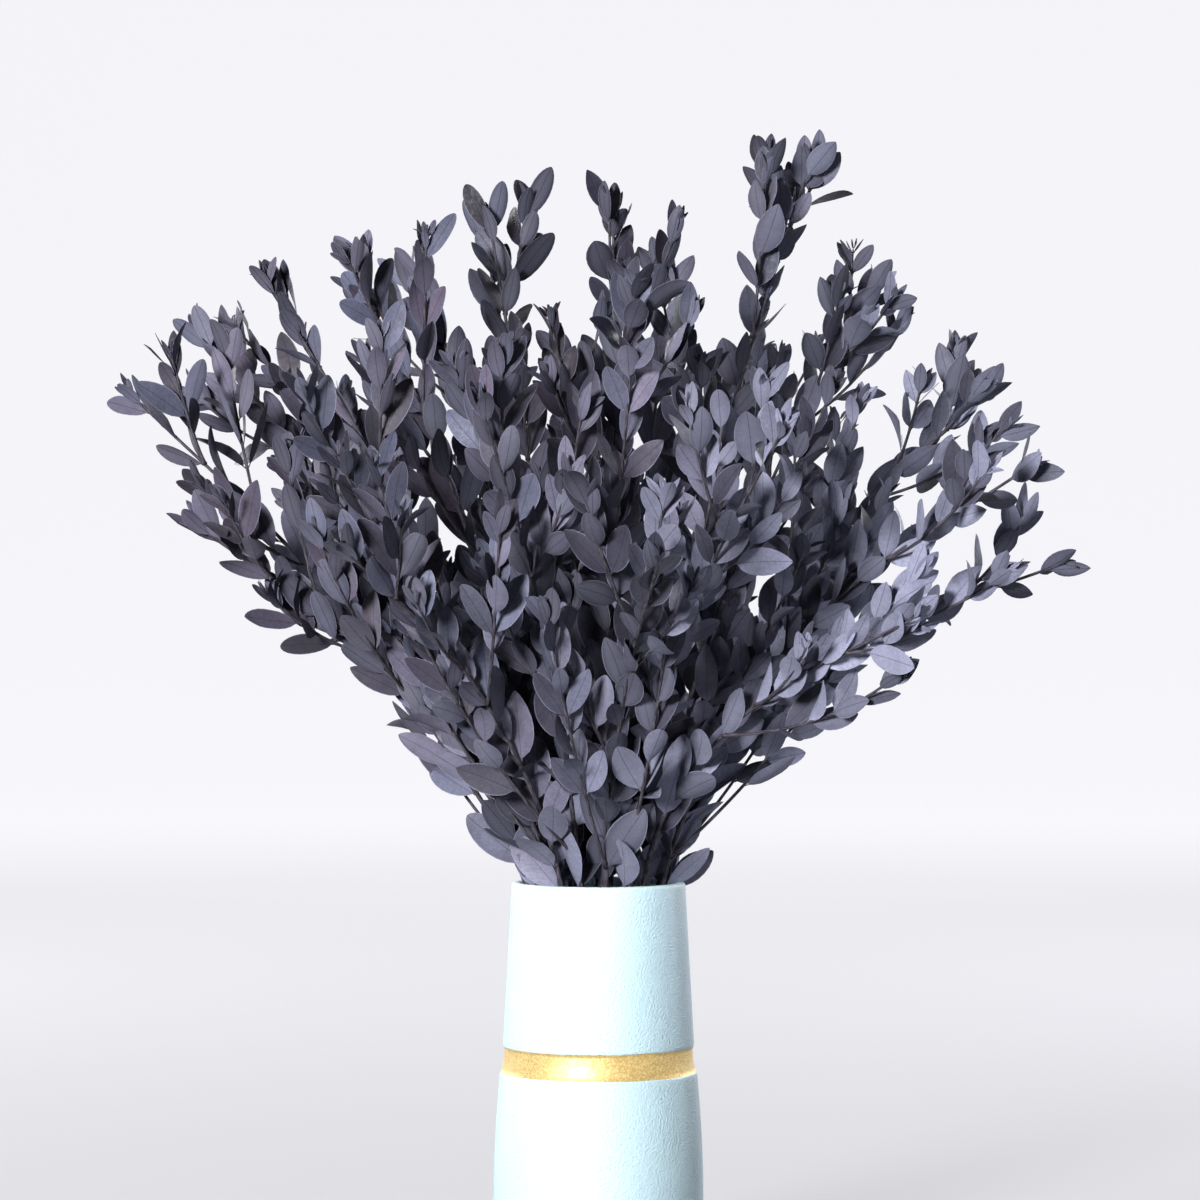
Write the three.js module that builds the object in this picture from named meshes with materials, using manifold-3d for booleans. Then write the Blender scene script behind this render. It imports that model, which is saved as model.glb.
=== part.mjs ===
// Dyed, dried eucalyptus in a tapered ceramic vase. Millimetres, +Z up.
// The origin is the centre of the vase's foot, on what it stands on. +X is right, and -Y is the front.
import * as THREE from "three";
import { mergeVertices } from "three/addons/utils/BufferGeometryUtils.js";
import Module from "manifold-3d";

const wasm = await Module();
wasm.setup();

// Vase
const VASE_HEIGHT = 262;
const RIM_RADIUS = 56.4; // outside, at the mouth
const TAPER = 0.055; // the wall widens by this much for each millimetre below the rim
const WALL = 6;
const FLOOR = 7;
const BAND_TOP = 107; // below the rim, where the painted groove begins
const BAND_BOTTOM = 124;
const BAND_DEPTH = 1.2;
const BAND_LIP = 1; // the body stands out this much more below the groove
const BAND_FALL = 3; // the height of the groove's sloping lower side
const BELLY_RADIUS = 69;
const BELLY_DROP = 196; // below the rim
const BELLY_PULL = 2; // how far outside the belly the wall's curve is drawn towards
const FOOT_RADIUS = 58;
const FOOT_ROUND = 10; // the height of the foot's rounded edge
const FOOT_FLARE = 8.5; // how far it stands out past the foot
const BELLY_WALL = 7; // thicker low down, and thickest at the corner of the floor
const FLOOR_CORNER = { side: 4, bottom: 11 };
const VASE_SIDES = 32;

// Stems. Each row is a stem's end: right of the axis, behind it, above the rim. Then how much it
// arches.
const TIPS = [
  [298, 15, 205, 0.28],
  [196, 195, 215, 0.2],
  [-10, 268, 235, 0.18],
  [-205, 185, 240, 0.16],
  [-246, -92, 226, 0.12],
  [-150, -218, 212, 0.16],
  [35, -265, 205, 0.2],
  [190, -180, 172, 0.22],
  [258, 95, 318, 0.16],
  [120, 240, 330, 0.14],
  [-105, 235, 335, 0.14],
  [-264, 70, 358, 0.1],
  [-298, -12, 312, 0.08],
  [-190, -165, 312, 0.1],
  [-70, -215, 300, 0.12],
  [110, -215, 285, 0.14],
  [270, -70, 266, 0.18],
  [-212, 10, 384, 0.08],
  [-152, -60, 398, 0.08],
  [-120, 120, 405, 0.08],
  [50, 165, 395, 0.08],
  [180, 60, 385, 0.1],
  [15, -130, 380, 0.08],
  [-70, -5, 425, 0.05],
  [10, 30, 430, 0.04],
  [136, 5, 462, 0.08],
];
const SEAT_GAP = 0.9; // under the middle of a stem's cut end; its lower edge is nearer the floor
const NECK_SHARE = 0.145; // a stem passes the neck this far out, for each millimetre that its tip is out
const NECK_DROP = 12; // the neck is measured this far below the rim
const NECK_REACH = RIM_RADIUS - WALL - 6; // the furthest out that a stem may pass
const WAIST = { share: 0.86, turn: 22, rise: 0.5 }; // halfway down: nearer the axis, and turned round it
const FOOT = { share: 0.8, turn: 52 };
const AT_NECK = 0.4; // the share of a stem's run that is below the neck
const ARCH_LIFT = 0.35; // an arch lifts a stem by this share of its rise, where it also draws it inward
const BARE_RINGS = [0, 0.13, 0.27, AT_NECK];
const STEM_RADIUS = { foot: 2.6, neck: 2.3, tip: 1.3 };
const STEM_PAIRS = 5; // pairs of leaves
const STEM_LEAFY = { from: 0.45, to: 0.985 };

// Twigs
const TWIG_PAIRS = [0, 2, 3]; // the pairs of leaves on a stem that have a twig beside them
const TWIG_LENGTH = 235; // of the lowest, about; those further up are shorter
const TWIG_SHORTENING = { from: 1.25, spread: 0.15 };
const TWIG_BEND = { half: 0.5, out: 0.87, up: 0.22 }; // in twig lengths: where its curve bends and ends
const TWIG_RADIUS = { foot: 1.6, tip: 1.2 };
const TWIG_OPEN = { least: 24, most: 38 }; // degrees between a twig and its stem
const TWIG_TURN = { least: 195, most: 255 }; // degrees round a twig to its first pair of leaves
const TWIG_LEAFY = { from: 0.34, to: 0.97 };
const TWIG_PAIR_SPACING = 44;
const TWIG_SWAY = 40; // the most that a twig is turned to either side, where its first place is taken
const TWIG_ROOM = 2; // between the wood or end leaf of one shoot and another's
const TWIG_TRIES = 30;
const SAMPLE_STEP = 6; // between the points at which shoots are compared

// Leaves
const LEAF_LENGTH = 47;
const STEM_TIP_LEAF = 0.8 * LEAF_LENGTH;
const TWIG_TIP_LEAF = 0.7 * LEAF_LENGTH;
const TWIG_LEAF_SCALE = 0.86;
const LEAF_ASPECT = 0.44; // full width over length
const LEAF_GROWTH = { first: 1.05, fall: 0.25 }; // the leaves get smaller along a shoot
const LEAF_SPREAD = { length: 0.15, width: 0.12 }; // from leaf to leaf
const LEAF_OPEN = { first: 50, fall: 20, spread: 8 }; // degrees between a leaf and its shoot
const LEAF_ROLL = 62; // the most that a leaf is turned about its own midrib
const LEAF_CURL = { down: -0.09, up: 0.05 }; // of its length
const LEAF_THICKNESS = 1;
const LEAF_RINGS = [
  { along: 0.3, width: 0.92 },
  { along: 0.68, width: 0.84 },
];
const LEAF_CUP = 0.1; // the edges rise above the midrib by this share of the half width
const LEAF_SEAT = 2.6; // the height of the band that a pair of leaves grows from
const CLEARANCE = 0.4; // between a leaf and anything that it doesn't grow from
const SLIVER = 1e-4; // the most, in cubic millimetres, that a leaf may share with what it grows from
const SEED = 155;

const UP = new THREE.Vector3(0, 0, 1);
const deg = THREE.MathUtils.degToRad;
const { lerp } = THREE.MathUtils;

// A number from 0 to 1 that depends only on its keys.
const draw = (a, b = 0, c = 0) => {
  const s = Math.sin(SEED + a * 12.9898 + b * 78.233 + c * 37.719) * 43758.5453;
  return s - Math.floor(s);
};
// The same, from low to high.
const drawn = (low, high, ...keys) => lerp(low, high, draw(...keys));

const moved = (point, ...moves) => {
  const result = point.clone();
  for (const [direction, distance] of moves) result.addScaledVector(direction, distance);
  return result;
};

const toward = (from, to) => new THREE.Vector3().subVectors(to, from);

// Whether the diagonal from a to d stands out past the one from b to c.
const bulges = (a, b, c, d) => toward(a, b).cross(toward(a, d)).dot(toward(a, c)) <= 0;

// The triangles between two rings of points, as a list of their corners. A ring may be one point.
// Between the points i and j of the lower ring and those of the upper are a triangle that stands on its
// base and one that stands on its corner, divided by the diagonal that bulges. `open` says which of
// them to leave out.
const band = (lower, upper, open = {}) => {
  const corners = [];
  const sides = Math.max(lower.length, upper.length);
  for (let i = 0; i < sides; i++) {
    const j = (i + 1) % sides;
    const [a, b] = [lower[i % lower.length], lower[j % lower.length]];
    const [c, d] = [upper[i % upper.length], upper[j % upper.length]];
    const [low, high] = bulges(a, b, c, d) ? [a, d] : [b, c];
    if (a !== b && open[i] !== "twig") corners.push(a, b, high);
    if (c !== d && !open[i]) corners.push(low, d, c);
  }
  return corners;
};
const cap = (ring) => ring.slice(2).flatMap((point, i) => [ring[0], ring[i + 1], point]);
const loft = (rings) => rings.slice(1).flatMap((ring, r) => band(rings[r], ring));
const closed = (rings) => [...cap(rings[0].toReversed()), ...loft(rings)];

const toGeometry = (corners) => mergeVertices(new THREE.BufferGeometry().setFromPoints(corners), 1e-4);

const toSolid = (geometry) => {
  const mesh = new wasm.Mesh({
    numProp: 3,
    vertProperties: new Float32Array(geometry.attributes.position.array),
    triVerts: new Uint32Array(geometry.index.array),
  });
  return new wasm.Manifold(mesh);
};

const makeVase = () => {
  const outer = (drop) => RIM_RADIUS + TAPER * drop;
  const z = (drop) => VASE_HEIGHT - drop;
  const rimRound = WALL / 2;
  const half = new THREE.Shape();
  half.moveTo(0, 0);
  half.lineTo(FOOT_RADIUS, 0);
  half.quadraticCurveTo(FOOT_RADIUS + FOOT_FLARE - 1, 0, FOOT_RADIUS + FOOT_FLARE, FOOT_ROUND);
  const lip = outer(BAND_BOTTOM) + BAND_LIP;
  half.quadraticCurveTo(BELLY_RADIUS + BELLY_PULL, z(BELLY_DROP), lip, z(BAND_BOTTOM));
  half.lineTo(outer(BAND_BOTTOM) - BAND_DEPTH * 0.3, z(BAND_BOTTOM - BAND_FALL));
  half.lineTo(outer(BAND_TOP) - BAND_DEPTH, z(BAND_TOP + 1));
  half.lineTo(outer(BAND_TOP), z(BAND_TOP));
  half.lineTo(outer(rimRound), z(rimRound));
  half.absarc(outer(rimRound) - rimRound, z(rimRound), rimRound, 0, Math.PI, false);
  half.lineTo(outer(BAND_TOP) - WALL, z(BAND_TOP));
  half.lineTo(BELLY_RADIUS - BELLY_WALL, z(BELLY_DROP));
  half.lineTo(FOOT_RADIUS - FLOOR_CORNER.side, FLOOR + FOOT_ROUND);
  half.lineTo(FOOT_RADIUS - FLOOR_CORNER.bottom, FLOOR);
  half.lineTo(0, FLOOR);
  const geometry = new THREE.LatheGeometry(half.getPoints(2), VASE_SIDES);
  geometry.rotateX(Math.PI / 2);
  geometry.deleteAttribute("normal");
  geometry.deleteAttribute("uv");
  return mergeVertices(geometry, 1e-4);
};

// A stem's or twig's curve with its thickness. `sideways` is a direction that stays square to it, or
// nearly, and `turn` starts its leaves at another angle round it.
const makeAxis = (curve, sideways, radius, turn) => ({
  curve,
  run: curve.getLength(),
  radius,
  turn,
  at: (along) => {
    const tangent = curve.getTangent(along);
    const v = new THREE.Vector3().crossVectors(tangent, sideways).normalize();
    return { point: curve.getPoint(along), tangent, u: new THREE.Vector3().crossVectors(v, tangent), v };
  },
});

// Two directions mixed by an angle, from the first towards the second.
const mixed = (a, b, angle) => {
  const turn = deg(angle);
  return moved(new THREE.Vector3(), [a, Math.cos(turn)], [b, Math.sin(turn)]);
};

// A direction square to the tangent, and one that opens from the tangent towards that side.
const sideAt = ({ u, v }, angle) => mixed(u, v, angle);
const opened = ({ tangent }, side, angle) => mixed(tangent, side, angle);

// Four points round a place on an axis.
const ringAt = ({ point, u, v }, angle, reachU, reachV = reachU) =>
  [0, 90, 180, 270].map((quarter) => {
    const round = deg(angle + quarter);
    return moved(point, [u, reachU * Math.cos(round)], [v, reachV * Math.sin(round)]);
  });

// Turns a plan position about the vase's axis and scales it.
const plan = ({ x, y }, share, turn, height) => {
  const flat = new THREE.Vector2(x, y).multiplyScalar(share).rotateAround(new THREE.Vector2(), deg(turn));
  return new THREE.Vector3(flat.x, flat.y, height);
};

// A stem runs from its foot, by the waist where stems spiral past one another, through the neck and
// along its arch.
const stemAxis = ([x, y, rise, arch], i) => {
  const tip = new THREE.Vector3(x, y, VASE_HEIGHT + rise);
  const neckShare = Math.min(NECK_SHARE, NECK_REACH / Math.hypot(x, y));
  const neck = plan(tip, neckShare, 0, VASE_HEIGHT - NECK_DROP);
  const start = FLOOR + SEAT_GAP;
  const foot = plan(neck, FOOT.share, FOOT.turn, start);
  const waist = plan(neck, WAIST.share, WAIST.turn, lerp(start, neck.z, WAIST.rise));
  const onArch = (along) => {
    const lag = arch * Math.sin(Math.PI * along);
    const inward = new THREE.Vector3(neck.x - x, neck.y - y, ARCH_LIFT * rise);
    return neck.clone().lerp(tip, along).addScaledVector(inward, lag);
  };
  const through = [foot, waist, neck, onArch(1 / 3), onArch(2 / 3), tip];
  const curve = new THREE.CatmullRomCurve3(through, false, "catmullrom", 0.5);
  const { foot: thick, neck: middle, tip: thin } = STEM_RADIUS;
  const radius = (along) => {
    if (along < AT_NECK) return lerp(thick, middle, along / AT_NECK);
    return lerp(middle, thin, (along - AT_NECK) / (1 - AT_NECK));
  };
  return makeAxis(curve, new THREE.Vector3(-y, x, 0).normalize(), radius, 360 * draw(i, 0, 3));
};

// Twig j of stem i opens from the stem at a side and lifts towards its end. It is shorter further up.
// Each new try leans it another way.
const twigAxis = (stem, i, j, along, angle, attempt) => {
  const place = stem.at(along);
  const key = j + 0.1 * attempt;
  const side = sideAt(place, angle + (attempt ? drawn(-TWIG_SWAY, TWIG_SWAY, i, key, 6) : 0));
  const away = opened(place, side, drawn(TWIG_OPEN.least, TWIG_OPEN.most, i, key, 4));
  const { from, spread } = TWIG_SHORTENING;
  const length = TWIG_LENGTH * (from - along) * drawn(1 - spread, 1 + spread, i, key, 2);
  const bend = moved(place.point, [away, TWIG_BEND.half * length]);
  const end = moved(place.point, [away, TWIG_BEND.out * length], [UP, TWIG_BEND.up * length]);
  const curve = new THREE.QuadraticBezierCurve3(place.point, bend, end);
  const sideways = new THREE.Vector3().crossVectors(place.tangent, side);
  const radius = (share) => lerp(TWIG_RADIUS.foot, TWIG_RADIUS.tip, share);
  return makeAxis(curve, sideways, radius, drawn(TWIG_TURN.least, TWIG_TURN.most, i, j, 5));
};

// Points along a shoot, with how far its wood or its end leaf reaches from each.
const roomOf = (axis, leafyTo, tipLength) => {
  const steps = Math.ceil((axis.run * leafyTo) / SAMPLE_STEP);
  const wood = Array.from({ length: steps }, (_, k) => {
    const along = (leafyTo * k) / steps;
    return { point: axis.at(along).point, reach: axis.radius(along) };
  });
  const { point, tangent } = axis.at(leafyTo);
  const leaf = [0.2, 0.4, 0.6, 0.8].map((share) => ({
    point: moved(point, [tangent, share * tipLength]),
    reach: 0.5 * LEAF_ASPECT * tipLength,
  }));
  return [...wood, ...leaf];
};

// The first try at a twig that has room beside the shoots already there. Its own stem isn't counted.
const taken = [];
const roomyTwig = (stem, i, j, along, angle) => {
  for (let attempt = 0; attempt < TWIG_TRIES; attempt++) {
    const axis = twigAxis(stem, i, j, along, angle, attempt);
    const room = roomOf(axis, TWIG_LEAFY.to, TWIG_TIP_LEAF);
    const meets = (a, b) => b.stem !== i && a.point.distanceTo(b.point) < a.reach + b.reach + TWIG_ROOM;
    if (!room.some((a) => taken.some((b) => meets(a, b)))) {
      taken.push(...room);
      return axis;
    }
  }
  throw new Error(`twig ${j} of stem ${i} has no room`);
};

// The rings of one leaf outward from where it grows. Each has its keel, right edge and left edge, and
// the last is the leaf's point.
const leafRings = (place, side, { length, width, open, roll, curl }) => {
  const away = opened(place, side, open);
  const across = new THREE.Vector3().crossVectors(place.tangent, side);
  const right = across.applyAxisAngle(away, deg(roll));
  const face = new THREE.Vector3().crossVectors(away, right);
  const at = (along, sideways, up) =>
    moved(place.point, [away, along * length], [right, sideways], [face, up + curl * length * along ** 2]);
  const rings = LEAF_RINGS.map(({ along, width: share }) => {
    const half = (width / 2) * share;
    const lift = LEAF_CUP * half;
    return [at(along, 0, -LEAF_THICKNESS), at(along, half, lift), at(along, -half, lift)];
  });
  return [...rings, [at(1, 0, 0)]];
};

// One leaf's size and bearing. `growth` runs from 0 at a shoot's first pair to 1 at its last.
const leafTraits = (growth, scale, ...keys) => {
  const [key, pair, half] = keys;
  const pick = (low, high, trait) => drawn(low, high, key, pair, trait + half);
  const about = (spread, trait) => pick(1 - spread, 1 + spread, trait);
  const grown = LEAF_GROWTH.first - LEAF_GROWTH.fall * growth;
  const length = LEAF_LENGTH * scale * grown * about(LEAF_SPREAD.length, 10);
  return {
    length,
    width: length * LEAF_ASPECT * about(LEAF_SPREAD.width, 20),
    open: LEAF_OPEN.first - LEAF_OPEN.fall * growth + pick(-LEAF_OPEN.spread, LEAF_OPEN.spread, 30),
    roll: pick(-LEAF_ROLL, LEAF_ROLL, 40),
    curl: pick(LEAF_CURL.down, LEAF_CURL.up, 50),
  };
};

// Everything placed so far, to keep the leaves from crossing.
const placed = [];
const place = (solid, touching = []) => placed.push({ solid, touching, box: solid.boundingBox() });
const near = (a, b) => [0, 1, 2].every((k) => a.min[k] < b.max[k] + 1 && b.min[k] < a.max[k] + 1);
const isClear = (solid, bearers) => {
  const box = solid.boundingBox();
  const bears = ({ touching }) => touching.some((bearer) => bearers.includes(bearer));
  const cuts = (other) => solid.intersect(other.solid).volume() > SLIVER;
  const closeTo = (other) => solid.minGap(other.solid, 2 * CLEARANCE) < CLEARANCE;
  return !placed.some((other) => near(box, other.box) && (bears(other) ? cuts(other) : closeTo(other)));
};

// A ring of points, started from the one that leaves the least twist between it and the next ring.
const leastTwisted = (ring, next) => {
  const starts = ring.map((_, k) => [...ring.slice(k), ...ring.slice(0, k)]);
  const twist = (turned) => turned.reduce((sum, point, k) => sum + point.distanceToSquared(next[k]), 0);
  return starts.reduce((best, turned) => (twist(turned) < twist(best) ? turned : best));
};

// A leaf where it naturally grows or, where that is taken, bent until it is clear.
const BENDS = [
  { open: 0, sway: 0, twist: 1 },
  { open: 0, sway: 0, twist: 0.4 },
  { open: 14, sway: 0, twist: 0.7 },
  { open: 0, sway: 24, twist: 0.5 },
  { open: 0, sway: -24, twist: 0.5 },
  { open: -14, sway: 0, twist: 0.4 },
  { open: 12, sway: 14, twist: -0.4 },
  { open: 12, sway: -14, twist: -0.4 },
  { open: 26, sway: 0, twist: 0 },
  { open: 20, sway: 38, twist: 0 },
  { open: 20, sway: -38, twist: 0 },
  { open: 40, sway: 20, twist: 0.3 },
  { open: 40, sway: -20, twist: -0.3 },
];
const clearLeaf = (base, where, angle, traits, bearers) => {
  for (const { open, sway, twist } of BENDS) {
    const bent = { ...traits, open: traits.open + open, roll: traits.roll * twist };
    const blade = leafRings(where, sideAt(where, angle + sway), bent);
    const rings = [leastTwisted(base, blade[0]), ...blade];
    const solid = toSolid(toGeometry(closed(rings)));
    if (isClear(solid, bearers)) {
      place(solid);
      return rings;
    }
  }
  return null;
};

// Where a shoot's pairs of leaves sit, and the rings of its rod. Each ring is turned an eighth from the
// one before, so a pair grows out of two opposite triangles that stand on their corner, and the next
// pair a quarter round.
const layOut = (axis, { root = [], bare = [], leafy, pairs, tipLength }) => {
  const gaps = Math.max(1, pairs - 1);
  const alongs = Array.from({ length: pairs }, (_, n) => lerp(leafy.from, leafy.to, n / gaps));
  const stops = [...bare, ...alongs.flatMap((along) => [along - LEAF_SEAT / axis.run, along])];
  const rod = stops.map((along, k) => ringAt(axis.at(along), axis.turn - 45 * k, axis.radius(along)));
  const rings = [...root, ...rod];
  const end = axis.at(leafy.to);
  const last = axis.turn - 45 * stops.length;
  for (const { along, width } of LEAF_RINGS) {
    const ahead = { ...end, point: moved(end.point, [end.tangent, along * tipLength]) };
    rings.push(ringAt(ahead, last, 0.5 * width * tipLength * LEAF_ASPECT, 0.5 * LEAF_THICKNESS));
  }
  rings.push([moved(end.point, [end.tangent, tipLength])]);
  const seats = alongs.map((along, n) => {
    const stop = bare.length + 2 * n;
    return { along, ring: root.length + stop, angle: axis.turn - 45 * stop };
  });
  return { axis, rings, seats };
};

const stemLayout = (axis) =>
  layOut(axis, { bare: BARE_RINGS, leafy: STEM_LEAFY, pairs: STEM_PAIRS, tipLength: STEM_TIP_LEAF });

// The face of a pair's band that its twig grows from: the next pair has it on the other side.
const twigFace = (n) => (n % 2 ? 3 : 1);

const twigLayout = (stem, i, j) => {
  const seat = stem.seats[TWIG_PAIRS[j]];
  const face = twigFace(TWIG_PAIRS[j]);
  const next = (face + 1) % 4;
  const [lower, upper] = [stem.rings[seat.ring], stem.rings[seat.ring + 1]];
  const root = [[lower[face], lower[next], upper[next], upper[face]]];
  const axis = roomyTwig(stem.axis, i, j, seat.along, seat.angle + 90 * face + 22.5);
  const leafyRun = axis.run * (TWIG_LEAFY.to - TWIG_LEAFY.from);
  const pairs = Math.max(1, Math.round(leafyRun / TWIG_PAIR_SPACING + 0.6));
  return { seat, ...layOut(axis, { root, leafy: TWIG_LEAFY, pairs, tipLength: TWIG_TIP_LEAF }) };
};

// The corners of a shoot's triangles: its rod, open where leaves and twigs grow, and the leaves.
const clothe = ({ axis, rings, seats }, key, scale, twigPairs = []) => {
  const leaves = [];
  const open = {};
  seats.forEach((seat, n) => {
    const { along, ring, angle } = seat;
    const where = axis.at(along);
    const growth = n / Math.max(1, seats.length - 1);
    open[ring] = {};
    for (const half of [0, 1]) {
      const face = 2 * half;
      const base = [rings[ring][face], rings[ring + 1][face + 1], rings[ring + 1][face]];
      const traits = leafTraits(growth, scale, key, n, half);
      const leaf = clearLeaf(base, where, angle + 90 * face, traits, [axis, seat]);
      if (leaf) {
        leaves.push(...loft(leaf));
        open[ring][face] = "leaf";
      }
    }
    if (twigPairs.includes(n)) open[ring][twigFace(n)] = "twig";
  });
  return [...rings.slice(1).flatMap((ring, r) => band(rings[r], ring, open[r])), ...leaves];
};

const vase = makeVase();
place(toSolid(vase));
const stems = TIPS.map((tip, i) => stemLayout(stemAxis(tip, i)));
stems.forEach(({ axis }, i) => {
  taken.push(...roomOf(axis, STEM_LEAFY.to, STEM_TIP_LEAF).map((room) => ({ ...room, stem: i })));
});
const shoots = stems.map((stem, i) => {
  const twigs = TWIG_PAIRS.map((_, j) => twigLayout(stem, i, j));
  for (const { axis, rings, seat } of [stem, ...twigs]) {
    place(toSolid(toGeometry(closed(rings))), [axis, seat]);
  }
  return { stem, twigs };
});

const leafyStem = ({ stem, twigs }, i) => {
  const corners = [...cap(stem.rings[0].toReversed()), ...clothe(stem, 10 * i, 1, TWIG_PAIRS)];
  twigs.forEach((twig, j) => corners.push(...clothe(twig, 10 * i + j + 1, TWIG_LEAF_SCALE)));
  return toGeometry(corners);
};

const glaze = new THREE.MeshStandardMaterial({ color: 0xc9e6ee, roughness: 0.45, metalness: 0 });
const part = new THREE.Group();
const addPart = (name, geometry, material) => {
  geometry.computeVertexNormals();
  const mesh = new THREE.Mesh(geometry, material);
  mesh.name = name;
  part.add(mesh);
};

addPart("vase", vase, glaze);
shoots.forEach((shoot, i) => {
  const hue = 0.66 + 0.06 * draw(i, 0, 60);
  const dyed = new THREE.MeshStandardMaterial({
    color: new THREE.Color().setHSL(hue, 0.12, drawn(0.24, 0.3, i, 0, 61)),
    roughness: 0.65,
    metalness: 0,
  });
  addPart(`leafy_stem_${String(i + 1).padStart(2, "0")}`, leafyStem(shoot, i), dyed);
});

export default part;
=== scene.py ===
# %% [markdown]
# # Dried eucalyptus in a glazed vase
#
# The object is a full bunch of eucalyptus branches, dyed a dark violet-grey and dried, in a tall vase of
# pale blue stoneware with a gold-painted groove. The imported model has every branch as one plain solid
# with a quarter of its leaves. This script keeps those branches where they are and clothes them: finer
# wood, all the leaves with their ribs and veins, the turned vase with its glaze, and a plain studio round
# them.
#
# The object's lengths are in millimetres and become Blender's metres where a mesh is made. Its materials,
# the lights and the camera are in metres.

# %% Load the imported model
from dataclasses import dataclass
from typing import Callable

import bpy
import numpy as np
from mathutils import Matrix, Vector


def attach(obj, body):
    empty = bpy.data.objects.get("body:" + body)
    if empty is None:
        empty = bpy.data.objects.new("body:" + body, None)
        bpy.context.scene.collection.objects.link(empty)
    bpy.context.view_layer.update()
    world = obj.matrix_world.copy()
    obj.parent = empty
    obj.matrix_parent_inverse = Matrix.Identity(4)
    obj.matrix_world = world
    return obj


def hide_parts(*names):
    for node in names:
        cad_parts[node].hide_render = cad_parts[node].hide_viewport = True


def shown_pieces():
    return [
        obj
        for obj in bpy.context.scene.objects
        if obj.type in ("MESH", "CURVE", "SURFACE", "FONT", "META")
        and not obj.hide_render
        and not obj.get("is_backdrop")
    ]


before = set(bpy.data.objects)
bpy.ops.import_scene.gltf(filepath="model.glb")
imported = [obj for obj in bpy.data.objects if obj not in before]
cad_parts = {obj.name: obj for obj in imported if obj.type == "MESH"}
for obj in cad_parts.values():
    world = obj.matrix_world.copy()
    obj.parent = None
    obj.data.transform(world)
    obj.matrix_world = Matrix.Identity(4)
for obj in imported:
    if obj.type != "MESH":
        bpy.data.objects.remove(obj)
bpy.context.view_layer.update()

MM = 0.001
stem_nodes = sorted(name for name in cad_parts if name.startswith("leafy_stem_"))

# %% [markdown]
# ## Chance that stays the same
#
# A plant is full of small differences: no two leaves have one length or one bearing. Blender has random
# numbers, but a sequence of them shifts as soon as one leaf is added. Here each number depends only on
# its keys, such as the branch, the pair and the side, so one leaf can change while all the others stay.
# The rule is the model's own, which lets the branches here fall exactly on the branches there.

# %% Numbers drawn from keys
SEED = 155
KEY_TURNS = (12.9898, 78.233, 37.719)  # how far each key turns the sine
SINE_SPREAD = 43758.5453


def draw(a, b=0, c=0):
    """A number from 0 to 1 for each set of keys.

    It is the fraction of SINE_SPREAD times the sine of SEED plus each key times its turn.
    """
    angle = SEED
    for key, turn in zip((a, b, c), KEY_TURNS):
        angle = angle + np.multiply(key, turn)
    spread = np.sin(angle) * SINE_SPREAD
    return spread - np.floor(spread)


def drawn(low, high, *keys):
    """The same, from low to high."""
    return low + (high - low) * draw(*keys)


print("three draws:", np.round(draw(np.arange(3)), 3))

# %% [markdown]
# ## The path of a branch
#
# A branch stands on the vase's floor, passes the neck and arches outward to its tip. A curve object with
# handles could be drawn for each of the 26, but then nothing would say where its leaves go. A formula
# does better: the curve gives the point at any share of its length, for a thousand places at once.

# %% Two kinds of curve
def unit(vectors):
    """The vectors, each divided by its own length."""
    return vectors / np.linalg.norm(vectors, axis=-1, keepdims=True)


def curve_through(points):
    """A smooth curve through points, as a function of the share from 0 to 1.

    Between two neighbours it is the cubic that leaves each of them along half the step from the point before
    it to the point after it. Past the ends, the missing neighbour is mirrored.
    """
    points = np.asarray(points, float)
    ends = [2 * points[0] - points[1], 2 * points[-1] - points[-2]]
    padded = np.vstack([ends[:1], points, ends[1:]])
    slopes = (padded[2:] - padded[:-2]) / 2
    spans = len(points) - 1

    def curve(share):
        place = np.asarray(share, float) * spans
        k = np.clip(np.floor(place).astype(int), 0, spans - 1)
        t = (place - k)[..., None]
        p, q, m, n = points[k], points[k + 1], slopes[k], slopes[k + 1]
        return p + m * t + (3 * (q - p) - 2 * m - n) * t**2 + (2 * (p - q) + m + n) * t**3

    return curve


def curve_by_pull(start, pull, end):
    """A curve from start to end that is drawn towards pull: (1-t)^2 start + 2t(1-t) pull + t^2 end."""

    def curve(share):
        t = np.asarray(share, float)[..., None]
        return (1 - t) ** 2 * start + 2 * t * (1 - t) * pull + t**2 * end

    return curve


bow = curve_by_pull(*np.array([[0, 0, 0], [0, 0, 10], [10, 0, 10]]))
print("middle of a bow from 0 to 10:", bow(0.5))

# %% [markdown]
# ## Directions round a shoot
#
# A leaf also has to know which way is outward from its shoot. At each place a shoot gives three
# directions square to one another: one along it and two across it. They hang on one fixed sideways
# direction, so they don't spin from place to place as they would if each were worked out from the curve's
# bend alone.

# %% A shoot: a stem or a twig
CURVE_STEPS = 200
SHORT_STEP = 1e-4  # of the length, for the direction at a place


@dataclass
class Shoot:
    """A stem or a twig. Past leafy_to, the share that its last full pair is at, it goes on straight."""

    curve: Callable
    sideways: np.ndarray
    radius: Callable
    turn: float
    leafy_to: float
    tip_leaf: float

    def __post_init__(self):
        steps = np.diff(self.curve(np.linspace(0, 1, CURVE_STEPS + 1)), axis=0)
        self.run = np.linalg.norm(steps, axis=1).sum()

    def at(self, along):
        """Point, direction t, and two directions square to it: v is t x sideways as a unit, u is v x t."""
        along = np.asarray(along, float)
        held = np.minimum(along, self.leafy_to)
        before, after = np.maximum(held - SHORT_STEP, 0), np.minimum(held + SHORT_STEP, 1)
        t = unit(self.curve(after) - self.curve(before))
        v = unit(np.cross(t, self.sideways))
        point = self.curve(held) + t * ((along - held) * self.run)[..., None]
        return point, t, np.cross(v, t), v


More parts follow.
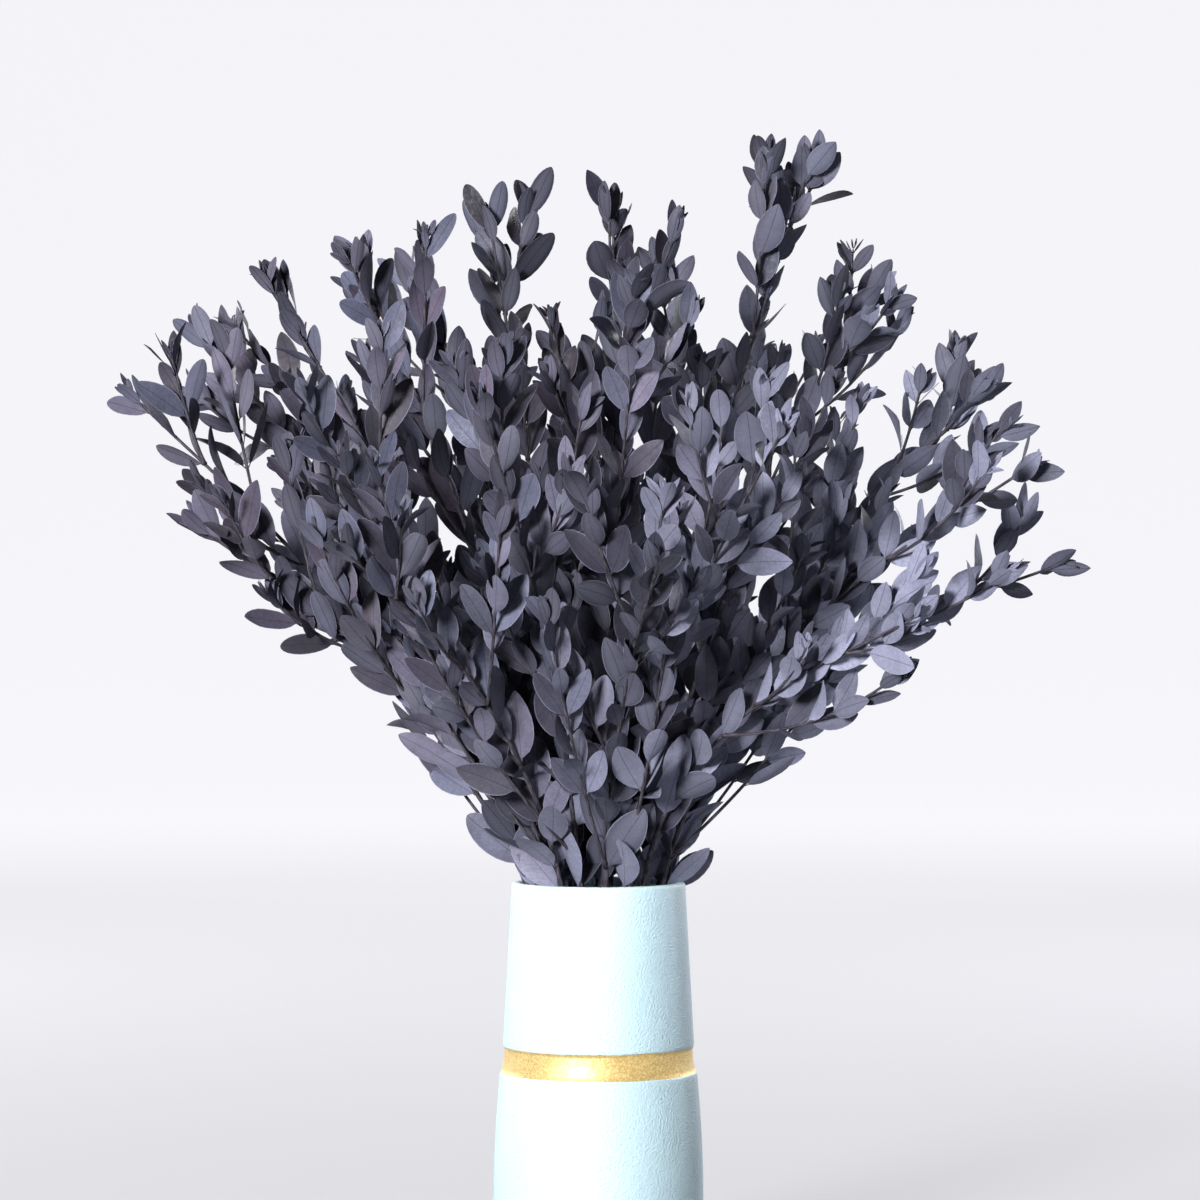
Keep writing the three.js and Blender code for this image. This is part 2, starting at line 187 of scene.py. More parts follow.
def toward(a, b, angle):
    """The direction that is turned from a towards b by an angle in degrees: a cos + b sin."""
    turn = np.radians(angle)[..., None]
    return a * np.cos(turn) + b * np.sin(turn)


print("30 degrees from x towards y:", np.round(toward(*np.eye(3)[:2], 30), 3))

# %% [markdown]
# ## Twenty-six stems
#
# Each row below is one stem's end as the model has it: right of the axis, behind it, above the rim, and
# how much it arches. Below the neck the stems lean past one another in a spiral, as hand-tied stems do,
# so that they pass the narrow mouth without cutting through each other.

# %% Where the stems end
VASE_HEIGHT = 262
TIPS = [
    (298, 15, 205, 0.28), (196, 195, 215, 0.2), (-10, 268, 235, 0.18), (-205, 185, 240, 0.16),
    (-246, -92, 226, 0.12), (-150, -218, 212, 0.16), (35, -265, 205, 0.2), (190, -180, 172, 0.22),
    (258, 95, 318, 0.16), (120, 240, 330, 0.14), (-105, 235, 335, 0.14), (-264, 70, 358, 0.1),
    (-298, -12, 312, 0.08), (-190, -165, 312, 0.1), (-70, -215, 300, 0.12), (110, -215, 285, 0.14),
    (270, -70, 266, 0.18), (-212, 10, 384, 0.08), (-152, -60, 398, 0.08), (-120, 120, 405, 0.08),
    (50, 165, 395, 0.08), (180, 60, 385, 0.1), (15, -130, 380, 0.08), (-70, -5, 425, 0.05),
    (10, 30, 430, 0.04), (136, 5, 462, 0.08),
]
print(f"{len(TIPS)} ends, the highest {VASE_HEIGHT + max(tip[2] for tip in TIPS)} mm up")

# %% From the vase's floor to each end
SEAT = 7.9  # the height of a stem's cut end
FOOT = (0.8, 52)  # out of the neck's distance from the axis, and turned about it by degrees
WAIST = (0.86, 22)
NECK_SHARE = 0.145
NECK_REACH = 44.4
NECK_DROP = 12
AT_NECK = 0.4
ARCH_LIFT = 0.35
STEM_RADIUS = {"foot": 2.6, "neck": 2.3, "tip": 1.3}
LEAF_LENGTH = 47  # of the model's leaves
LAST_PAIR = 0.985


def plan(point, share, turn, height):
    """A point brought nearer the vase's axis by a share, turned about it and put at a height."""
    turn = np.radians(turn)
    x, y = point[0] * share, point[1] * share
    return np.array([x * np.cos(turn) - y * np.sin(turn), x * np.sin(turn) + y * np.cos(turn), height])


def stem_radius(along):
    return np.interp(along, [0, AT_NECK, 1], list(STEM_RADIUS.values()))


def make_stem(i):
    """Stem i, through its foot, waist and neck and then along its arch.

    The arch is the straight way from the neck to the tip, drawn inward and up by arch times sin(pi share).
    """
    x, y, rise, arch = TIPS[i]
    tip = np.array([x, y, VASE_HEIGHT + rise])
    neck_height = VASE_HEIGHT - NECK_DROP
    neck = plan(tip, min(NECK_SHARE, NECK_REACH / np.hypot(x, y)), 0, neck_height)
    inward = np.array([neck[0] - x, neck[1] - y, ARCH_LIFT * rise])
    arched = [neck + (tip - neck) * s + inward * arch * np.sin(np.pi * s) for s in (1 / 3, 2 / 3)]
    foot = plan(neck, *FOOT, SEAT)
    waist = plan(neck, *WAIST, (SEAT + neck_height) / 2)
    curve = curve_through([foot, waist, neck, *arched, tip])
    sideways = unit(np.array([-y, x, 0.0]))
    return Shoot(curve, sideways, stem_radius, 360 * draw(i, 0, 3), LAST_PAIR, 0.8 * LEAF_LENGTH)


stems = [make_stem(i) for i in range(len(TIPS))]
print(f"stems run {min(s.run for s in stems):.0f} to {max(s.run for s in stems):.0f} mm")

# %% [markdown]
# ## Room for twigs
#
# A twig must not pass through another branch. Blender could test finished meshes against each other, but
# it is quicker to ask before anything is made. The points along every shoot are kept in one table, each
# with how far the wood or the end leaf reaches round it, and a new twig is compared with that table.

# %% A table of the room that is taken
SAMPLE_STEP = 6
ROOM = 2
NEARBY = 20  # how far past its own reach a shoot looks for others
LEAF_ASPECT = 0.44  # width out of length of the model's leaves
taken = {"point": np.empty((0, 3)), "reach": np.empty(0), "stem": np.empty(0, int)}


def room_of(shoot):
    """Points along a shoot, and how far its wood or its end leaf reaches from each."""
    steps = int(np.ceil(shoot.run * shoot.leafy_to / SAMPLE_STEP))
    along = shoot.leafy_to * np.arange(steps) / steps
    leaf = shoot.leafy_to + np.array([0.2, 0.4, 0.6, 0.8]) * shoot.tip_leaf / shoot.run
    reach = np.append(shoot.radius(along), np.full(len(leaf), 0.5 * LEAF_ASPECT * shoot.tip_leaf))
    return shoot.at(np.append(along, leaf))[0], reach


def keep_room(points, reach, stem):
    for key, rows in (("point", points), ("reach", reach), ("stem", np.full(len(reach), stem))):
        taken[key] = np.concatenate([taken[key], rows])


def is_free(points, reach, stem):
    """Whether every point is further from each point of the table than the two reach, with ROOM to spare."""
    margin = 2 * reach.max() + NEARBY
    above = taken["point"] > points.min(0) - margin
    below = taken["point"] < points.max(0) + margin
    near = (taken["stem"] != stem) & np.all(above & below, axis=1)
    distance = np.linalg.norm(points[:, None] - taken["point"][near], axis=-1)
    return bool(np.all(distance >= reach[:, None] + taken["reach"][near] + ROOM))


for i, stem in enumerate(stems):
    keep_room(*room_of(stem), i)
print(f"the stems take {len(taken['reach'])} points")

# %% [markdown]
# ## A twig and its search
#
# A twig opens at 24 to 38 degrees from its stem and then lifts towards the light. Where something is in
# its way it is leaned another way, up to 30 times. A twig of the model always finds its room, because the
# rule is the same as there. The smaller ones, which fill the bunch, are left out where there is none.

# %% One try at a twig, and the first that fits
TWIG_LENGTH = 235
TWIG_RADIUS = (1.6, 1.2)
TWIG_OPENING = (24, 38)
TWIG_TURN = (195, 255)
TWIG_LAST_PAIR = 0.97
LEAN = (-40, 40)


def twig_radius(along):
    return np.interp(along, [0, 1], TWIG_RADIUS)


def make_twig(stem, i, j, along, angle, attempt, share):
    """Try number attempt at twig j of stem i: a curve that leaves the stem at its opening angle and lifts."""
    point, t, u, v = stem.at(along)
    key = j + 0.1 * attempt
    lean = drawn(*LEAN, i, key, 6) if attempt else 0
    side = toward(u, v, angle + lean)
    away = toward(t, side, drawn(*TWIG_OPENING, i, key, 4))
    length = TWIG_LENGTH * share * (1.25 - along) * drawn(0.85, 1.15, i, key, 2)
    up = np.array([0, 0, 0.22 * length])
    curve = curve_by_pull(point, point + 0.5 * length * away, point + 0.87 * length * away + up)
    turn = drawn(*TWIG_TURN, i, j, 5)
    return Shoot(curve, np.cross(t, side), twig_radius, turn, TWIG_LAST_PAIR, 0.7 * LEAF_LENGTH)


def roomy_twig(stem, i, j, along, angle, tries=30, share=1.0):
    """The first try at a twig that has room, or None."""
    for attempt in range(tries):
        twig = make_twig(stem, i, j, along, angle, attempt, share)
        points, reach = room_of(twig)
        if is_free(points, reach, i):
            keep_room(points, reach, -1)
            return twig
    return None


print(f"a full twig half way up a stem runs {make_twig(stems[0], 0, 0, 0.5, 0.0, 0, 1.0).run:.0f} mm")

# %% [markdown]
# ## Pairs of leaves along a shoot
#
# Eucalyptus leaves grow in pairs, each pair turned about a right angle from the one before. The model has
# every fourth pair of a stem and every third of a twig. The rest go between them, and the steps of the
# turn are chosen so that the model's pairs come out where they were: 67.5 degrees on a stem and 90 on a
# twig.

# %% Twigs on the stems
FIRST_PAIR = 0.45
PAIR_STEP = (LAST_PAIR - FIRST_PAIR) / 16
PAIR_TURN = 67.5
STEM_PAIRS = 18
MODEL_TWIGS = (1, 9, 13)  # the pairs of a stem that a twig of the model stands beside
SMALL_TWIGS = (6, 11, 15)
CROWN_TWIGS = (8, 14, 16)  # more of them on the stems of the crown, the bushy top right of the bunch
CROWN_RIGHT = 60
CROWN_RISE = 300
SMALL_SHARE = 0.66
SMALL_TRIES = 8


def stem_pair(stem, m):
    """How far along a stem pair m is, and the angle that its first leaf grows at."""
    return FIRST_PAIR + PAIR_STEP * (m - 1), stem.turn - 180 + PAIR_TURN * (m - 1)


def model_twig(stem, i, j):
    """Twig j of the model, at the angle that the model's own rule gives it."""
    along, _ = stem_pair(stem, MODEL_TWIGS[j])
    n = (MODEL_TWIGS[j] - 1) // 4
    face = 3 if n % 2 else 1
    return roomy_twig(stem, i, j, along, stem.turn - 45 * (4 + 2 * n) + 90 * face + 22.5)


def small_twig(stem, i, j, pair):
    """A twig that the model doesn't have, square to the leaves of its pair."""
    along, angle = stem_pair(stem, pair)
    return roomy_twig(stem, i, 4 + j, along, angle + 90 + 180 * (j % 2), SMALL_TRIES, SMALL_SHARE)


twigs = [[model_twig(stem, i, j) for j in range(len(MODEL_TWIGS))] for i, stem in enumerate(stems)]
for i, stem in enumerate(stems):
    bushy = TIPS[i][0] > CROWN_RIGHT and TIPS[i][2] > CROWN_RISE
    pairs = SMALL_TWIGS + (CROWN_TWIGS if bushy else ())
    found = [small_twig(stem, i, j, pair) for j, pair in enumerate(pairs)]
    twigs[i] += [twig for twig in found if twig]
print(f"{sum(map(len, twigs))} twigs")

# %% [markdown]
# ## One shape for everything
#
# Wood, leaf and vase are the same thing to a mesh: rings of points between two end points. A leaf is such
# a tube pressed flat, and a vase is one that goes up its outside, over the rim and down its inside. So
# one function gives the faces of all of them, closed at both ends and facing outward. Primitive cylinders
# would need their ends joined and their places applied afterwards.

# %% Closed tubes as arrays
def ring_faces(rows, sides):
    """Four-sided faces from each ring of points to the next: (rows - 1, sides, 4) point numbers."""
    k = np.arange(sides)
    after = (k + 1) % sides
    row = np.arange(rows - 1)[:, None] * sides
    return np.stack([row + k, row + after, row + sides + after, row + sides + k], axis=-1)


@dataclass
class Tubes:
    """Closed tubes of one kind: rings (tubes, rows, sides, 3) and poles (tubes, 2, 3).

    Each point has its place on the surface and its tints, and rim says whether it is on a sharp edge. The
    slot is the number of the tubes' material.
    """

    rings: np.ndarray
    poles: np.ndarray
    place: np.ndarray
    tint: np.ndarray
    rim: np.ndarray
    slot: int

    def points(self):
        count = self.rings.shape[0]
        return np.concatenate([self.rings.reshape(count, -1, 3), self.poles], axis=1)

    def faces(self):
        """The faces between the rings and triangles to the poles, as point numbers.

        Blender splits a four-sided face from its first corner to its third. On the second half of the sides
        each face starts one corner later, so that the two layers of a leaf are split alike and can't cut
        through each other.
        """
        count, rows, sides, _ = self.rings.shape
        k = np.arange(sides)
        after = (k + 1) % sides
        quads = ring_faces(rows, sides)
        quads = np.where((k >= sides // 2)[:, None], np.roll(quads, -1, axis=-1), quads).reshape(-1, 4)
        first, last = rows * sides, rows * sides + 1
        end = (rows - 1) * sides
        base = np.stack([np.full(sides, first), after, k], axis=-1)
        top = np.stack([np.full(sides, last), end + k, end + after], axis=-1)
        start = np.arange(count)[:, None, None] * (rows * sides + 2)
        return [(quads + start).reshape(-1, 4), (np.concatenate([base, top]) + start).reshape(-1, 3)]


print("a tube of 3 rings with 4 sides has", ring_faces(3, 4).reshape(-1, 4).shape[0] + 2 * 4, "faces")

# %% [markdown]
# ## From arrays to a mesh
#
# from_pydata takes lists and is easy to read, but a branch has some eight thousand points. foreach_set
# hands whole arrays to the mesh instead: where the points are, which of them each face uses, and each
# face's material. The place and the tints go along as attributes, which the materials read.

# %% Put groups of tubes into one object
def face_arrays(groups):
    """All faces of the groups, one after another: their corners, their numbers of corners and their slots."""
    corners, sizes, slots, offset = [], [], [], 0
    for group in groups:
        for faces in group.faces():
            corners.append((faces + offset).ravel())
            sizes.append(np.full(len(faces), faces.shape[1]))
            slots.append(np.full(len(faces), group.slot))
        offset += group.points().reshape(-1, 3).shape[0]
    return (np.concatenate(rows).astype(np.int32) for rows in (corners, sizes, slots))


MARKS = ("place", "tint")


def new_piece(name, groups, materials):
    """One Blender object of several groups of tubes, in metres, smooth except along sharp rims."""
    corners, sizes, slots = face_arrays(groups)
    points = np.concatenate([group.points().reshape(-1, 3) for group in groups])
    mesh = bpy.data.meshes.new(name)
    mesh.vertices.add(len(points))
    mesh.vertices.foreach_set("co", (points * MM).ravel())
    mesh.loops.add(len(corners))
    mesh.loops.foreach_set("vertex_index", corners)
    mesh.polygons.add(len(sizes))
    mesh.polygons.foreach_set("loop_start", (np.cumsum(sizes) - sizes).astype(np.int32))
    mesh.polygons.foreach_set("material_index", slots)
    mesh.update(calc_edges=True)
    mesh.shade_smooth()
    for key in MARKS:
        values = np.concatenate([getattr(group, key).reshape(-1, 3) for group in groups])
        mesh.attributes.new(key, "FLOAT_VECTOR", "POINT").data.foreach_set("vector", values.ravel())
    rim = np.concatenate([np.tile(group.rim, len(group.rings)) for group in groups])
    ends = np.empty(2 * len(mesh.edges), np.int32)
    mesh.edges.foreach_get("vertices", ends)
    sharp = rim[ends.reshape(-1, 2)].all(axis=1)
    mesh.attributes.new("sharp_edge", "BOOLEAN", "EDGE").data.foreach_set("value", sharp)
    for material in materials:
        mesh.materials.append(material)
    piece = bpy.data.objects.new(name, mesh)
    bpy.context.scene.collection.objects.link(piece)
    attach(piece, "root")
    return piece


print("each point will carry", MARKS)

# %% [markdown]
# ## Wood
#
# The wood is a thin round rod with a slight swelling at each pair of leaves and a collar where a twig
# leaves its stem. A curve with a bevel would give the rod but not the swellings. Here the radius is a
# function along the shoot, and eight sides are enough for wood two to four millimetres thick.

# %% Rods with swollen joints
SIDES = 8
BARK_SLOT = 1
SLIMMING = 0.72  # the model's wood is stouter, as a plain solid has to be
SWELLING = 0.22
SWELLING_REACH = 1.6
COLLAR = 0.7
COLLAR_REACH = 3
COLLAR_BELOW = 0.4  # a shoot whose first pair comes before this share is a twig
TIP_RADIUS = 0.5
TIP_SLOPE = 0.06


def rod_radius(shoot, along, end, joint):
    """The radius along a shoot that is drawn out to end.

    It is the shoot's own, or less near the tip, times 1 + SWELLING exp(-(distance to a joint / reach)^2). A
    twig's is wider at its foot by COLLAR exp(-distance / reach).
    """
    distance = along * shoot.run
    gap = np.abs(distance[:, None] - joint * shoot.run).min(axis=1)
    radius = np.minimum(shoot.radius(along), TIP_RADIUS + TIP_SLOPE * (end * shoot.run - distance))
    radius = SLIMMING * radius * (1 + SWELLING * np.exp(-((gap / SWELLING_REACH) ** 2)))
    return radius * (1 + COLLAR * np.exp(-distance / COLLAR_REACH) * (joint[0] < COLLAR_BELOW))


def rods(shoots, joints, rows, seed):
    """Tubes along shoots. A point's place is its offset across the rod and its distance along it."""
    angle = 2 * np.pi * np.arange(SIDES) / SIDES
    rings, poles, places = [], [], []
    for shoot, joint in zip(shoots, joints):
        end = shoot.leafy_to + 0.5 * shoot.tip_leaf / shoot.run
        along = end * np.linspace(0, 1, rows)
        distance = along * shoot.run
        point, t, u, v = shoot.at(along)
        radius = rod_radius(shoot, along, end, joint)
        around = u[:, None] * np.cos(angle)[:, None] + v[:, None] * np.sin(angle)[:, None]
        rings.append(point[:, None] + around * radius[:, None, None])
        poles.append(np.stack([point[0] - 0.2 * t[0], point[-1] + 0.8 * t[-1]]))
        flat = [np.cos(angle) * radius[:, None], np.sin(angle) * radius[:, None]]
        flat.append(np.repeat(distance[:, None], SIDES, 1))
        ends = [[0, 0, 0], [0, 0, end * shoot.run]]
        places.append(np.concatenate([np.stack(flat, axis=-1).reshape(-1, 3), ends]))
    place = np.stack(places)
    tint = np.broadcast_to(draw(seed, np.arange(len(shoots)), 1)[:, None, None], place.shape)
    rim = np.zeros(place.shape[1], bool)
    return Tubes(np.stack(rings), np.stack(poles), place, tint, rim, BARK_SLOT)


bare = rod_radius(stems[0], np.array([0.02, 0.9]), 1.0, np.array([0.5]))
print("a stem is", np.round(2 * bare, 2), "mm thick near its foot and its tip")

# %% [markdown]
# ## The outline of a leaf
#
# A dried eucalyptus leaf is a narrow oval on a short stalk. Its outline is a product of two powers, one
# that opens it from the stalk and one that closes it at the tip. Two numbers then make any leaf, from a
# lance to an egg, where a drawn outline would have to be drawn again for each.

# %% Half the width along the blade
ROWS = 11
STATIONS = 0.5 - 0.5 * np.cos(np.pi * np.arange(ROWS + 2) / (ROWS + 1))  # closer together at both ends
STALK = 0.07  # of the length


def half_width(s, rise, fall):
    """The half width at share s of the blade, out of its widest: s^rise (1-s)^fall over its own maximum."""
    s = np.clip((s - STALK) / (1 - STALK), 0, 1)
    peak = rise / (rise + fall)
    return s**rise * (1 - s) ** fall / (peak**rise * (1 - peak) ** fall)


print("half widths along a leaf:", np.round(half_width(STATIONS[1:-1], 0.65, 0.63), 2))

# %% [markdown]
# ## The blade of a leaf
#
# As it dries, the blade cups, twists a little and crinkles at its edge. It could be one leaf copied by
# geometry nodes, but then all would bend alike, and a flat plane has no thickness for a model that is
# also printed or measured. Each leaf is a flattened tube of four points round and eleven rows, so it has
# a few dozen faces, and every one has its own length, width, bend, twist, cup and crinkle.

# %% The surface of many leaves at once
ACROSS = np.array([1, 0, -1, 0])  # right edge, upper side, left edge, underside
LAYER = np.array([0, 1, 0, -1])
LEAF_SLOT = 0
STALK_HALF = 0.6
BLADE = 0.38  # thickness
STALK_BULGE = 0.3  # more of it each way at the stalk
STALK_FADE = 0.07


def spread_along(direction, amount):
    """One vector for each leaf and row: the leaf's direction times the amount in each row."""
    return direction[:, None] * amount[..., None]


def blades(root, away, right, traits):
    """Leaves that grow from root along away, with their width along right.

    The midrib is an arc that turns by bend over the whole length, with sickle times s^2 to the side. At share
    s the width direction has turned by twist s about the midrib. A point across the blade at c, from -1 to 1,
    is raised by cup c^2 plus crinkle |c| sin(2 pi (waves s + phase) + 2 c), in half widths, plus half the
    thickness.
    """
    column = {name: values[:, None] for name, values in traits.items()}
    face = np.cross(away, right)
    s = STATIONS[None]
    bend = column["bend"] * s
    forward = column["length"] * s * np.sinc(bend / np.pi)
    lift = column["length"] * s * bend / 2 * np.sinc(bend / (2 * np.pi)) ** 2
    aside = column["length"] * column["sickle"] * s**2
    midrib = root[:, None] + spread_along(away, forward) + spread_along(face, lift)
    midrib = midrib + spread_along(right, aside)
    up = spread_along(face, np.cos(bend)) - spread_along(away, np.sin(bend))
    twist = (column["twist"] * s)[..., None]
    over = right[:, None] * np.cos(twist) + up * np.sin(twist)
    normal = up * np.cos(twist) - right[:, None] * np.sin(twist)

    inner = s[:, 1:-1]
    half = column["width"] / 2 * half_width(inner, column["rise"], column["fall"])
    half = np.maximum(half, STALK_HALF)[..., None]
    thick = (BLADE / 2 + STALK_BULGE * np.exp(-inner / STALK_FADE))[..., None]
    wave = np.sin(2 * np.pi * (column["waves"] * inner + column["phase"])[..., None] + 2 * ACROSS)
    cup = column["cup"][..., None] * ACROSS**2
    crinkle = column["crinkle"][..., None] * np.abs(ACROSS) * wave
    height = half * (cup + crinkle) + LAYER * thick
    sideways = half * ACROSS
    rings = midrib[:, 1:-1, None] + over[:, 1:-1, None] * sideways[..., None]
    rings = rings + normal[:, 1:-1, None] * height[..., None]
    return leaf_tubes(rings, midrib[:, [0, -1]], sideways, column)


def leaf_tubes(rings, poles, sideways, column):
    """The blades as tubes. A point's place is how far across and along it is, and its distance in millimetres
    from the midrib. Its tints are tone, hue and layer."""
    count = len(rings)
    shape = rings.shape[:-1]
    along = STATIONS[None, 1:-1, None]
    place = [np.broadcast_to(ACROSS, shape), np.broadcast_to(along, shape), np.broadcast_to(sideways, shape)]
    place = np.stack(place, axis=-1).reshape(count, -1, 3)
    ends = np.broadcast_to([[0.0, 0.0, 0.0], [0.0, 1.0, 0.0]], (count, 2, 3))
    layer = np.append(np.tile(LAYER, ROWS), [0, 0])
    tint = np.stack(np.broadcast_arrays(column["tone"], column["hue"], layer[None]), axis=-1)
    rim = np.append(np.tile(LAYER == 0, ROWS), [True, True])
    return Tubes(rings, poles, np.concatenate([place, ends], axis=1), tint, rim, LEAF_SLOT)


print("a leaf has", ROWS * len(ACROSS) + 2, "points")

# %% [markdown]
# ## How a leaf is turned
#
# A leaf shows its broad side to the light, and in a dried bunch that has hung or stood for weeks most
# leaves end up broad side out. Aiming each exactly outward would look like roof tiles, so each leaf is
# rolled about its own midrib only most of the way, and the rest is chance.

# %% The roll that faces outward
BOUQUET_HEART = np.array([0, 0, 400])
FACING_DEPTH = 150
FACING_ASIDE = -0.5
FACING_UP = 0.35


def facing_roll(point, right, face):
    """How far a leaf at a point is rolled for its face to look out of the bunch, from -90 to 90 degrees.

    Outward is mainly to the front or the back, as the point lies before or behind the bunch's heart.
    """
    x, y, z = (point - BOUQUET_HEART).T
    outward = np.stack([FACING_ASIDE * x, y + np.copysign(FACING_DEPTH, y), FACING_UP * z], axis=-1)
    roll = np.degrees(np.arctan2(-(right * outward).sum(1), (face * outward).sum(1)))
    return (roll + 90) % 180 - 90


toward_front = facing_roll(np.array([[0, -200, 400]]), np.array([[0, 1, 0]]), np.array([[1, 0, 0]]))
print("a leaf edge-on to the front is rolled by", toward_front, "degrees")

# %% [markdown]
# ## How leaves differ
#
# The leaves at the left of the bunch are long and narrow and those at its right shorter and more oval, as
# if they came from two trees. Apart from that, each trait is drawn between two limits. One table of them
# is easier to read and to change than a line of code for each.

# %% The traits of each leaf
TRAITS = {  # lowest, highest and the number that the draw's keys take
    "length": (0.78, 1.18, 10),
    "width": (0.32, 0.42, 20),
    "bend": (-0.65, 0.5, 50),
    "twist": (-24, 24, 52),
    "sickle": (-0.08, 0.08, 54),
    "cup": (-0.1, 0.45, 56),
    "crinkle": (0.0, 0.1, 58),
    "waves": (0.8, 2.2, 60),
    "phase": (0, 1, 62),
    "rise": (0.56, 0.74, 64),
    "fall": (0.52, 0.74, 66),
    "tone": (0, 1, 72),
    "hue": (0, 1, 74),
}
OVAL = {"length": -0.14, "width": 0.09, "fall": 0.16}  # what an oval leaf has more
SMALL_LEAF = [0.4, 0.75]  # sizes between which leaves widen to their full width
SMALL_WIDTH = [0.7, 1]


def leaf_traits(pick, size, oval, shade):
    """All traits, with length and width in millimetres. A shoot's shade, cubed, moves the tone of its leaves
    towards dark, so that a few shoots are dark all along."""
    traits = {name: pick(*limits) for name, limits in TRAITS.items()}
    length = LEAF_LENGTH * (1 + OVAL["length"] * oval) * size * traits["length"]
    aspect = traits["width"] + OVAL["width"] * oval
    traits["length"] = length
    traits["width"] = length * aspect * np.interp(size, SMALL_LEAF, SMALL_WIDTH)
    traits["twist"] = np.radians(traits["twist"])
    traits["fall"] = traits["fall"] + OVAL["fall"] * oval
    traits["tone"] = 1 - (1 - traits["tone"]) * (1 - shade**3)
    return traits


typical = leaf_traits(lambda low, high, _: (low + high) / 2, 1.0, 0.0, 0.0)
print(f"a middling leaf is {typical['length']:.0f} mm long and {typical['width']:.0f} mm wide")

# %% [markdown]
# ## Leaves on their shoots
#
# The two leaves of a pair open from the shoot at some 30 degrees near its foot and 20 near its tip. On a
# shoot that runs towards the viewer or away, the leaves are turned up, or they would show only their
# edges. Some leaves have dropped: most near the neck, where the bunch was bound, and some at the very
# top. A leaf that was made and then deleted would cost time, so the choice comes before the mesh.

# %% Leaves along one shoot
SHOOT_OPENING = (0.85, 1.45)  # how much wider or closer a whole shoot holds its leaves
OPENING_SPREAD = 12
SIDE_SPREAD = 14
FACING_SHARE = 0.72
ROLL_SPREAD = 48
UPTURN = 0.6
OVAL_SIDE = [-120, 120]  # from here to here, left to right, leaves turn from narrow to oval
LOST_HEIGHTS = [VASE_HEIGHT, 400, 590, 700]
LOST = [0.4, 0.03, 0.03, 0.2]  # the share of the leaves that have dropped, at those heights
LOST_FEWER = 0.7  # less of it among the oval leaves
LOST_BY_SHOOT = 0.16


def shoot_leaves(shoot, along, angle, size, opening, key):
    """Root, away, right and traits of the two leaves at each place along a shoot."""
    pair = np.repeat(np.arange(len(along)), 2)
    half = np.tile([0, 1], len(along))
    pick = lambda low, high, trait: drawn(low, high, key, pair, trait + half)
    point, t, u, v = (rows[pair] for rows in shoot.at(along))
    side = toward(u, v, angle[pair] + 180 * half + pick(-SIDE_SPREAD, SIDE_SPREAD, 70))
    wide = opening[pair] * drawn(*SHOOT_OPENING, key, 0, 79) + pick(-OPENING_SPREAD, OPENING_SPREAD, 30)
    away = toward(t, side, wide)
    away = unit(away + UPTURN * np.abs(t[:, 1:2]) * np.array([0, 0, 1]))
    right = unit(np.cross(np.cross(away, np.cross(t, side)), away))
    face = np.cross(away, right)
    roll = FACING_SHARE * facing_roll(point, right, face) + pick(-ROLL_SPREAD, ROLL_SPREAD, 40)
    right = toward(right, face, roll)

    oval = np.interp(point[:, 0], OVAL_SIDE, [0, 1])
    traits = leaf_traits(pick, size[pair], oval, drawn(0, 1, key, 0, 80))
    root = point + side * (0.5 * shoot.radius(along)[pair])[:, None]
    lost = np.interp(point[:, 2], LOST_HEIGHTS, LOST) * (1 - LOST_FEWER * oval)
    kept = pick(0, 1, 76) > lost + drawn(0, LOST_BY_SHOOT, key, 0, 78)
    return [root[kept], away[kept], right[kept], {name: values[kept] for name, values in traits.items()}]


trial = shoot_leaves(stems[0], np.linspace(0.5, 0.9, 5), np.zeros(5), np.ones(5), np.full(5, 30.0), 0)
print("leaves kept of ten:", len(trial[0]))

# %% [markdown]
# ## A whole branch
#
# Leaves get smaller towards a shoot's end, and three small pairs close it. On a twig the pairs stand 14
# to 24 mm apart. A branch is then three groups of tubes: the wood of the stem, the wood of its twigs, and
# the leaves.

# %% Dress a stem and its twigs
SIZE_FROM, SIZE_LOSS = 1.05, 0.3
OPENING_FROM, OPENING_LOSS = 33, 11
END_PLACES = np.array([0.2, 0.42, 0.52])  # of the end leaf's length past the last pair
END_SIZES = np.array([0.58, 0.34, 0.2])
END_TURNS = np.array([90, 180, 270])
END_OPENINGS = [22, 30, 25]
STEM_ENDING, TWIG_ENDING = (0.9, 1.35), (0.9, 1.5)  # how much larger those pairs are, by shoot
TWIG_SPACING = (14, 24)
TWIG_LEAVES = (0.34, TWIG_LAST_PAIR)
TWIG_SCALE = 0.86
STEM_ROWS, TWIG_ROWS = 120, 30


def leafy_places(shoot, along, angle, scale, ending):
    """Places, angles, sizes and openings of a shoot's pairs, with three small ones at its end."""
    growth = np.linspace(0, 1, len(along))
    past = shoot.leafy_to + END_PLACES * shoot.tip_leaf / shoot.run
    size = scale * np.append(SIZE_FROM - SIZE_LOSS * growth, END_SIZES * ending)
    opening = np.append(OPENING_FROM - OPENING_LOSS * growth, END_OPENINGS)
    return np.append(along, past), np.append(angle, angle[-1] + END_TURNS), size, opening


def twig_places(twig, i, j):
    """The places of twig j of stem i, each pair a right angle on from the one before."""
    spacing = drawn(*TWIG_SPACING, i, j, 90)
    pairs = max(3, int(round(twig.run * (TWIG_LEAVES[1] - TWIG_LEAVES[0]) / spacing)) + 1)
    along = np.linspace(*TWIG_LEAVES, pairs)
    angle = twig.turn + 90 * np.arange(pairs)
    return leafy_places(twig, along, angle, TWIG_SCALE, drawn(*TWIG_ENDING, i, j, 92))


